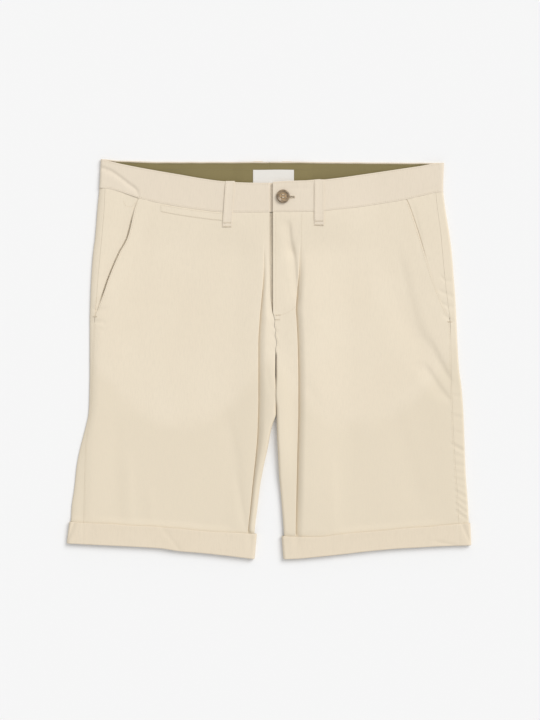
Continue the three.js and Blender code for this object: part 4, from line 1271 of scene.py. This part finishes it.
def make_cuff(side):
    """A closed ring round the leg: the section goes along the back, the outer fold, the front and the
    inner fold. Each station is its share of the way out, and how far it turns out and up."""
    sign, shape = SIGN[side], CUFF_OUTLINE[side]
    outer_turn = np.linspace(-math.pi / 2, math.pi / 2, 17)
    stations = [(share, 0.0, -1.0) for share in np.linspace(0, 1, 60)[1:-1]]
    stations += [(1.0, math.cos(a), math.sin(a)) for a in outer_turn]
    stations += [(share, 0.0, 1.0) for share in np.linspace(1, 0, 170)[1:-1]]
    stations += [(0.0, math.cos(a), math.sin(a)) for a in outer_turn + math.pi]
    rings = []
    for share, out, up in stations:
        def at(t, share=share, out=out):
            inner = lerp(shape["inner_fold"], shape["inner_top"], t) + sign * CUFF_ROUND
            outer = lerp(shape["outer_fold"], shape["outer_top"], t) - sign * CUFF_ROUND
            return lerp(inner, outer, share) + sign * CUFF_ROUND * out

        centre = at(0.5)
        wave = 0.35 * math.sin(centre / 13 + 1.2 * math.sin(centre / 31))
        height = float(hem[side]["cuff"](centre) - hem[side]["fold"](centre)) + wave
        section = np.array(cuff_section(height))
        depth, rise = section[:, 0], section[:, 1]
        x = at(rise / height) - sign * depth * out
        y = hem[side]["fold"](x) + rise
        lift = cuff_relief(side, x, y) * max(0.0, up)
        gaping = 0.15 * smooth(0.6, 1.0, rise / height) * max(0.0, up) * (depth <= CLOTH)
        z = CUFF_TOP / 2 + (CUFF_TOP / 2 - depth) * up + lift + gaping
        rings.append(np.stack([x, y, z], axis=-1))
    rings = np.array(rings)
    count, corners = rings.shape[:2]
    index = np.arange(count * corners).reshape(count, corners)
    after = np.roll(index, -1, axis=0)
    a, b = index, np.roll(index, -1, axis=1)
    d, c = after, np.roll(after, -1, axis=1)
    faces = np.stack([a.ravel(), b.ravel(), c.ravel(), d.ravel()], axis=1)
    vertices = rings.reshape(-1, 3)
    name = f"cuff_{side}"
    obj = make_object(name, vertices, outward_faces(vertices, faces), sand_cuff)
    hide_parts(name)


# ---------- button ----------
def button_profile():
    """Radius and height of the button's section, from the middle of its underside round to its dish."""
    r, h = BUTTON_RADIUS, BUTTON_THICK
    under = [(0, 0), (r * 0.55, 0), (r * 0.80, 0.05 * h)]
    side_angles = np.linspace(-1.25, 1.35, 12)
    side = [(r * 0.86 + r * 0.14 * math.cos(a), h * 0.5 + h * 0.46 * math.sin(a)) for a in side_angles]
    dish = [(r * k, h * z) for k, z in (
        (0.84, 0.985), (0.78, 0.95), (0.72, 0.86), (0.66, 0.74), (0.60, 0.66), (0.5, 0.61), (0.25, 0.60),
        (0, 0.60),
    )]
    return under + side + dish


def make_button():
    """A turned disc with a dish and four holes."""
    sides = 72
    turns = [2 * math.pi * k / sides for k in range(sides)]
    vertices, faces, rings = [], [], []
    for radius, height in button_profile():
        angles = turns if radius else [0.0]
        rings.append(range(len(vertices), len(vertices) + len(angles)))
        for a in angles:
            x, y = BUTTON_X + radius * math.cos(a), BUTTON_Y + radius * math.sin(a)
            vertices.append((x, y, BUTTON_BASE + height))
    for low, high in zip(rings, rings[1:]):
        for k in range(sides):
            n = (k + 1) % sides
            if len(low) == 1:
                faces.append([low[0], high[n], high[k]])
            elif len(high) == 1:
                faces.append([low[k], low[n], high[0]])
            else:
                faces.append([low[k], low[n], high[n], high[k]])
    obj = make_object("button", vertices, faces, button_horn)
    for dx in BUTTON_HOLE_AT:
        for dy in BUTTON_HOLE_AT:
            x, y = BUTTON_X + dx, BUTTON_Y + dy
            subtract(obj, *capsule_prism(x, x, y, BUTTON_HOLE, BUTTON_BASE - 1, BUTTON_BASE + 5, 12))
    obj.data.set_sharp_from_angle(angle=math.radians(40))
    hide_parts("button")


def make_button_thread():
    """Two passes of thread over the dish, down through the holes to the shank."""
    low, high = BUTTON_BASE - 0.35, BUTTON_BASE + BUTTON_THICK * 0.60
    vertices, faces = [], []
    thread = 0.3

    def extend(path):
        faces.extend(ring_faces(len(path), 8, len(vertices)))
        vertices.extend(tube(path, thread, thread, 8)[0].tolist())

    angles = np.linspace(0, math.pi, 15)
    across = BUTTON_HOLE_AT[1] * np.cos(angles)
    x = BUTTON_X + np.concatenate([across[:1], across, across[-1:]])
    z = np.concatenate([[low], high + 0.35 + 0.55 * np.sin(angles), [low]])
    for dy in BUTTON_HOLE_AT:
        for shift in (-thread, thread):
            extend(path_of(x, BUTTON_Y + dy + shift, z))
    underlap = float(waist_level("right", BUTTON_X)) + BAND / 2
    angles = np.linspace(0, 10 * math.pi, 120)
    coil_x, coil_y = BUTTON_X + 0.65 * np.cos(angles), BUTTON_Y - 1 + 0.65 * np.sin(angles)
    extend(path_of(coil_x, coil_y, np.linspace(underlap + 0.35, low + 0.1, 120)))
    obj = make_object("button_thread", vertices, faces, sand_thread)
    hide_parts("button_thread")


# ---------- stitches ----------
def stitch_mesh(paths, spacing, length, radius):
    """Short raised threads along paths of points on the cloth, each sinking in at both ends."""
    vertices, faces = [], []
    angles = np.linspace(0, 2 * math.pi, 6, endpoint=False)
    for path in paths:
        steps = np.linalg.norm(np.diff(path, axis=0), axis=1)
        run = np.concatenate([[0], np.cumsum(steps)])
        for start in np.arange(spacing * 0.2, run[-1] - length, spacing):
            marks = start + length * np.array([0.0, 0.22, 0.5, 0.78, 1.0])
            points = np.stack([np.interp(marks, run, path[:, k]) for k in range(3)], axis=1)
            points[:, 2] += radius * np.array([-0.9, 0.25, 0.45, 0.25, -0.9])
            tangent = points[-1] - points[0]
            tangent[2] = 0
            tangent /= max(np.linalg.norm(tangent), 1e-9)
            side = np.array([-tangent[1], tangent[0], 0])
            faces.extend(ring_faces(len(points), len(angles), len(vertices)))
            for point, share in zip(points, (0.35, 0.85, 1.0, 0.85, 0.35)):
                for a in angles:
                    around = side * math.cos(a) + np.array([0, 0, math.sin(a)])
                    vertices.append(point + radius * share * around)
    return vertices, faces


def add_stitches(name, paths, material=None, spacing=3.0, length=2.3, radius=0.22):
    vertices, faces = stitch_mesh(paths, spacing, length, radius)
    make_object(name, vertices, faces, material or sand_thread)


def on_front(side, x, y):
    return path_of(x + tuck(side, x, y), y, front_height(side, x, y) + CLOTH / 2)


def on_strip(side, x, y):
    return path_of(x, y, leg_height(side, "top", x, y) + CLOTH / 2)


def on_band(side, x, y):
    return path_of(x, y, band_height(side, "top", x, y) + BAND / 2)


def zigzag(x, y, width, height, turns):
    """A bar tack: close stitches to and fro across a short bar."""
    count = turns * 2 + 1
    return x + width * np.linspace(0, 1, count), y + height * (np.arange(count) % 2 - 0.5)


def make_waist_stitches():
    paths = []
    for side, sign in SIGN.items():
        start, end = (2, -224) if side == "right" else (6, 231)
        x = np.linspace(start, end, 240)
        paths.append(on_band(side, x, waist[side]["seam"](x) + 1.9))
        paths.append(on_band(side, x, waist[side]["front"](x) - 1.9))
        roll_x = np.linspace(sign * 1, FACING_ENDS[side], 200)
        roll_z = BAND + back_rise(roll_x, BACK_BAND_Y) + 1.28
        paths.append(path_of(roll_x, waist[side]["back"](roll_x) - 0.9, roll_z))
    add_stitches("stitches_waist", paths)


def make_facing_stitches():
    paths = []
    for side, sign in SIGN.items():
        x = np.linspace(sign, FACING_ENDS[side], 200)
        z = facing_level(x) + FACING_GAP + TAPE / 2
        paths.append(path_of(x, waist[side]["back"](x) - 10.5, z))
        paths.append(path_of(x, waist[side]["back"](x) - FACING_EDGE - 1.6, z))
    add_stitches("stitches_facing", paths, olive_thread, spacing=2.8, length=2.1, radius=0.2)


def make_pocket_stitches():
    paths = []
    for side, sign in SIGN.items():
        at = level[side]
        y = np.linspace(62, float(waist[side]["seam"](at["opening"](210))) - 6, 120)
        paths.append(on_front(side, at["opening"](y) - sign * 2.0, y))
    bow = np.linspace(0, math.pi, 24)
    x, y = -188.0 - 8 * np.cos(bow), 214 - 9 * np.sin(bow)
    paths.append(path_of(x, y, facing_height("right", x, y) + CLOTH / 2))
    add_stitches("stitches_pockets", paths)


def make_fly_stitches():
    edge = on_front("left", FLY_EDGE, np.linspace(196, 62, 100))
    bow = np.linspace(0, math.pi / 2, 26)[1:]
    x = np.concatenate([np.full(70, 44.0), 9 + 35 * np.cos(bow)])
    y = np.concatenate([np.linspace(196, 92, 70), 92 - 33 * np.sin(bow)])
    add_stitches("stitches_fly", [edge, on_front("left", x, y)])


def make_side_stitches():
    paths = []
    for side, sign in SIGN.items():
        y = np.linspace(48, -214, 200)
        paths.append(on_front(side, level[side]["opening"](y) - sign * 1.6, y))
    y = np.linspace(48, 0, 40)
    paths.append(on_front("left", level["left"]["front"](y) + 1.8, y))
    add_stitches("stitches_sides", paths, spacing=3.2, radius=0.18)


def make_loop_stitches():
    paths = []
    t = np.linspace(0.03, 0.97, 60)
    for side in SIGN:
        for s in (0.14, 0.86):
            x, y, z = loop_point(side, s, t)
            paths.append(path_of(x, y, z + LOOP / 2 - STITCH_SINK))
    for t in (0.12, 0.9):
        x, y, z = welt_point(np.linspace(0.01, 0.99, 90), t)
        paths.append(path_of(x, y, z + WELT / 2))
    add_stitches("stitches_loops", paths, spacing=2.8, length=2.1)


def make_bar_tacks():
    paths = []
    for side, row in FRONT_LOOPS.items():
        across, to_and_fro = zigzag(0.8, 0, row["width"] - 1.6, 1.9, 14)
        for t in (0.905, 0.985):
            x, y, z = loop_point(side, across / row["width"], t)
            paths.append(path_of(x, y + to_and_fro, z + LOOP / 2 - STITCH_SINK))
    for x, y, width in ((7.6, 59, 8.5), (8.2, 53, 6.5)):
        paths.append(on_front("left", *zigzag(x, y, width, 1.8, 10)))
    for side, x, y in (("right", -238, 57), ("left", 240.5, 50)):
        paths.append(on_strip(side, *zigzag(x, y, 6.5, 2.2, 8)) + np.array([0, 0, 0.02]))
    add_stitches("bar_tacks", paths, spacing=1.5, length=1.45, radius=0.2)


def make_buttonhole_stitches():
    """Close stitches across the slot's two lips and round its outer end."""
    paths = []
    reach = np.array([0.9, 2.3])
    for x in np.arange(20.5, 34.0, 0.62):
        for turn in (-1, 1):
            paths.append(on_band("left", x, BUTTONHOLE_Y + turn * reach))
    for a in np.linspace(-1.3, 1.3, 9):
        x, y = BUTTONHOLE_ENDS[1] + reach * math.cos(a), BUTTONHOLE_Y + reach * math.sin(a)
        paths.append(on_band("left", x, y))
    add_stitches("stitches_buttonhole", paths, spacing=1.4, length=1.1, radius=0.3)


def make_label_stitches():
    z = facing_level(LABEL_MIDDLE) + TAPE + SEAM + LABEL
    paths = [path_of(x, np.linspace(236, 254.4, 20), z) for x in (-19.6, 31.7)]
    add_stitches("stitches_label", paths, white_tape, spacing=2.2, length=1.7, radius=0.16)


# ---------- surface, light and camera ----------
def make_stage():
    mesh = bpy.data.meshes.new("surface")
    reach = 30.0
    corners = [(-reach, -reach, 0), (reach, -reach, 0), (reach, reach, 0), (-reach, reach, 0)]
    mesh.from_pydata(corners, [], [(0, 1, 2, 3)])
    floor = bpy.data.objects.new("surface", mesh)
    floor.location.z = -0.0001
    bpy.context.scene.collection.objects.link(floor)
    material, tree, shader = node_material("pale_surface")
    fill(tree, shader, {"Base Color": (0.90, 0.90, 0.90, 1), "Roughness": 0.9, "Specular IOR Level": 0.1})
    mesh.materials.append(material)


KEY_STRENGTH = 1.84
KEY_ANGLE = math.radians(36)
KEY_ELEVATION = math.radians(43)
KEY_AZIMUTH = math.radians(44)
FILL_STRENGTH = 0.628


def make_lights():
    sun = bpy.data.lights.new("key", "SUN")
    sun.energy = KEY_STRENGTH
    sun.angle = KEY_ANGLE
    key = bpy.data.objects.new("key", sun)
    key.rotation_euler = (0, math.pi / 2 - KEY_ELEVATION, KEY_AZIMUTH)
    bpy.context.scene.collection.objects.link(key)
    world = bpy.data.worlds.new("studio")
    world.use_nodes = True
    tree = world.node_tree
    fill(tree, tree.nodes["Background"], {"Color": WHITE, "Strength": FILL_STRENGTH})
    bpy.context.scene.world = world


def make_camera():
    lens = 85.0
    sensor = 36.0
    field = 0.972
    camera = bpy.data.cameras.new("camera")
    camera.lens = lens
    camera.sensor_width = sensor
    camera.clip_end = 50
    obj = bpy.data.objects.new("camera", camera)
    obj.location = (0.00135, -0.00135, field * lens / sensor)
    bpy.context.scene.collection.objects.link(obj)
    bpy.context.scene.camera = obj


# ---------- assembly ----------
make_camera()
make_stage()
make_lights()
bpy.context.scene.view_settings.view_transform = "Standard"

for side in SIGN:
    for make in (
        make_front, make_back, make_pocket_facing, make_waistband, make_waistband_facing, make_band_roll,
        make_front_loop, make_back_loop, make_cuff,
    ):
        make(side)
for make in (
    make_fly_shield, make_label, make_welt, make_button, make_button_thread,
    make_waist_stitches, make_facing_stitches, make_pocket_stitches, make_fly_stitches, make_side_stitches,
    make_loop_stitches, make_bar_tacks, make_buttonhole_stitches, make_label_stitches,
):
    make()
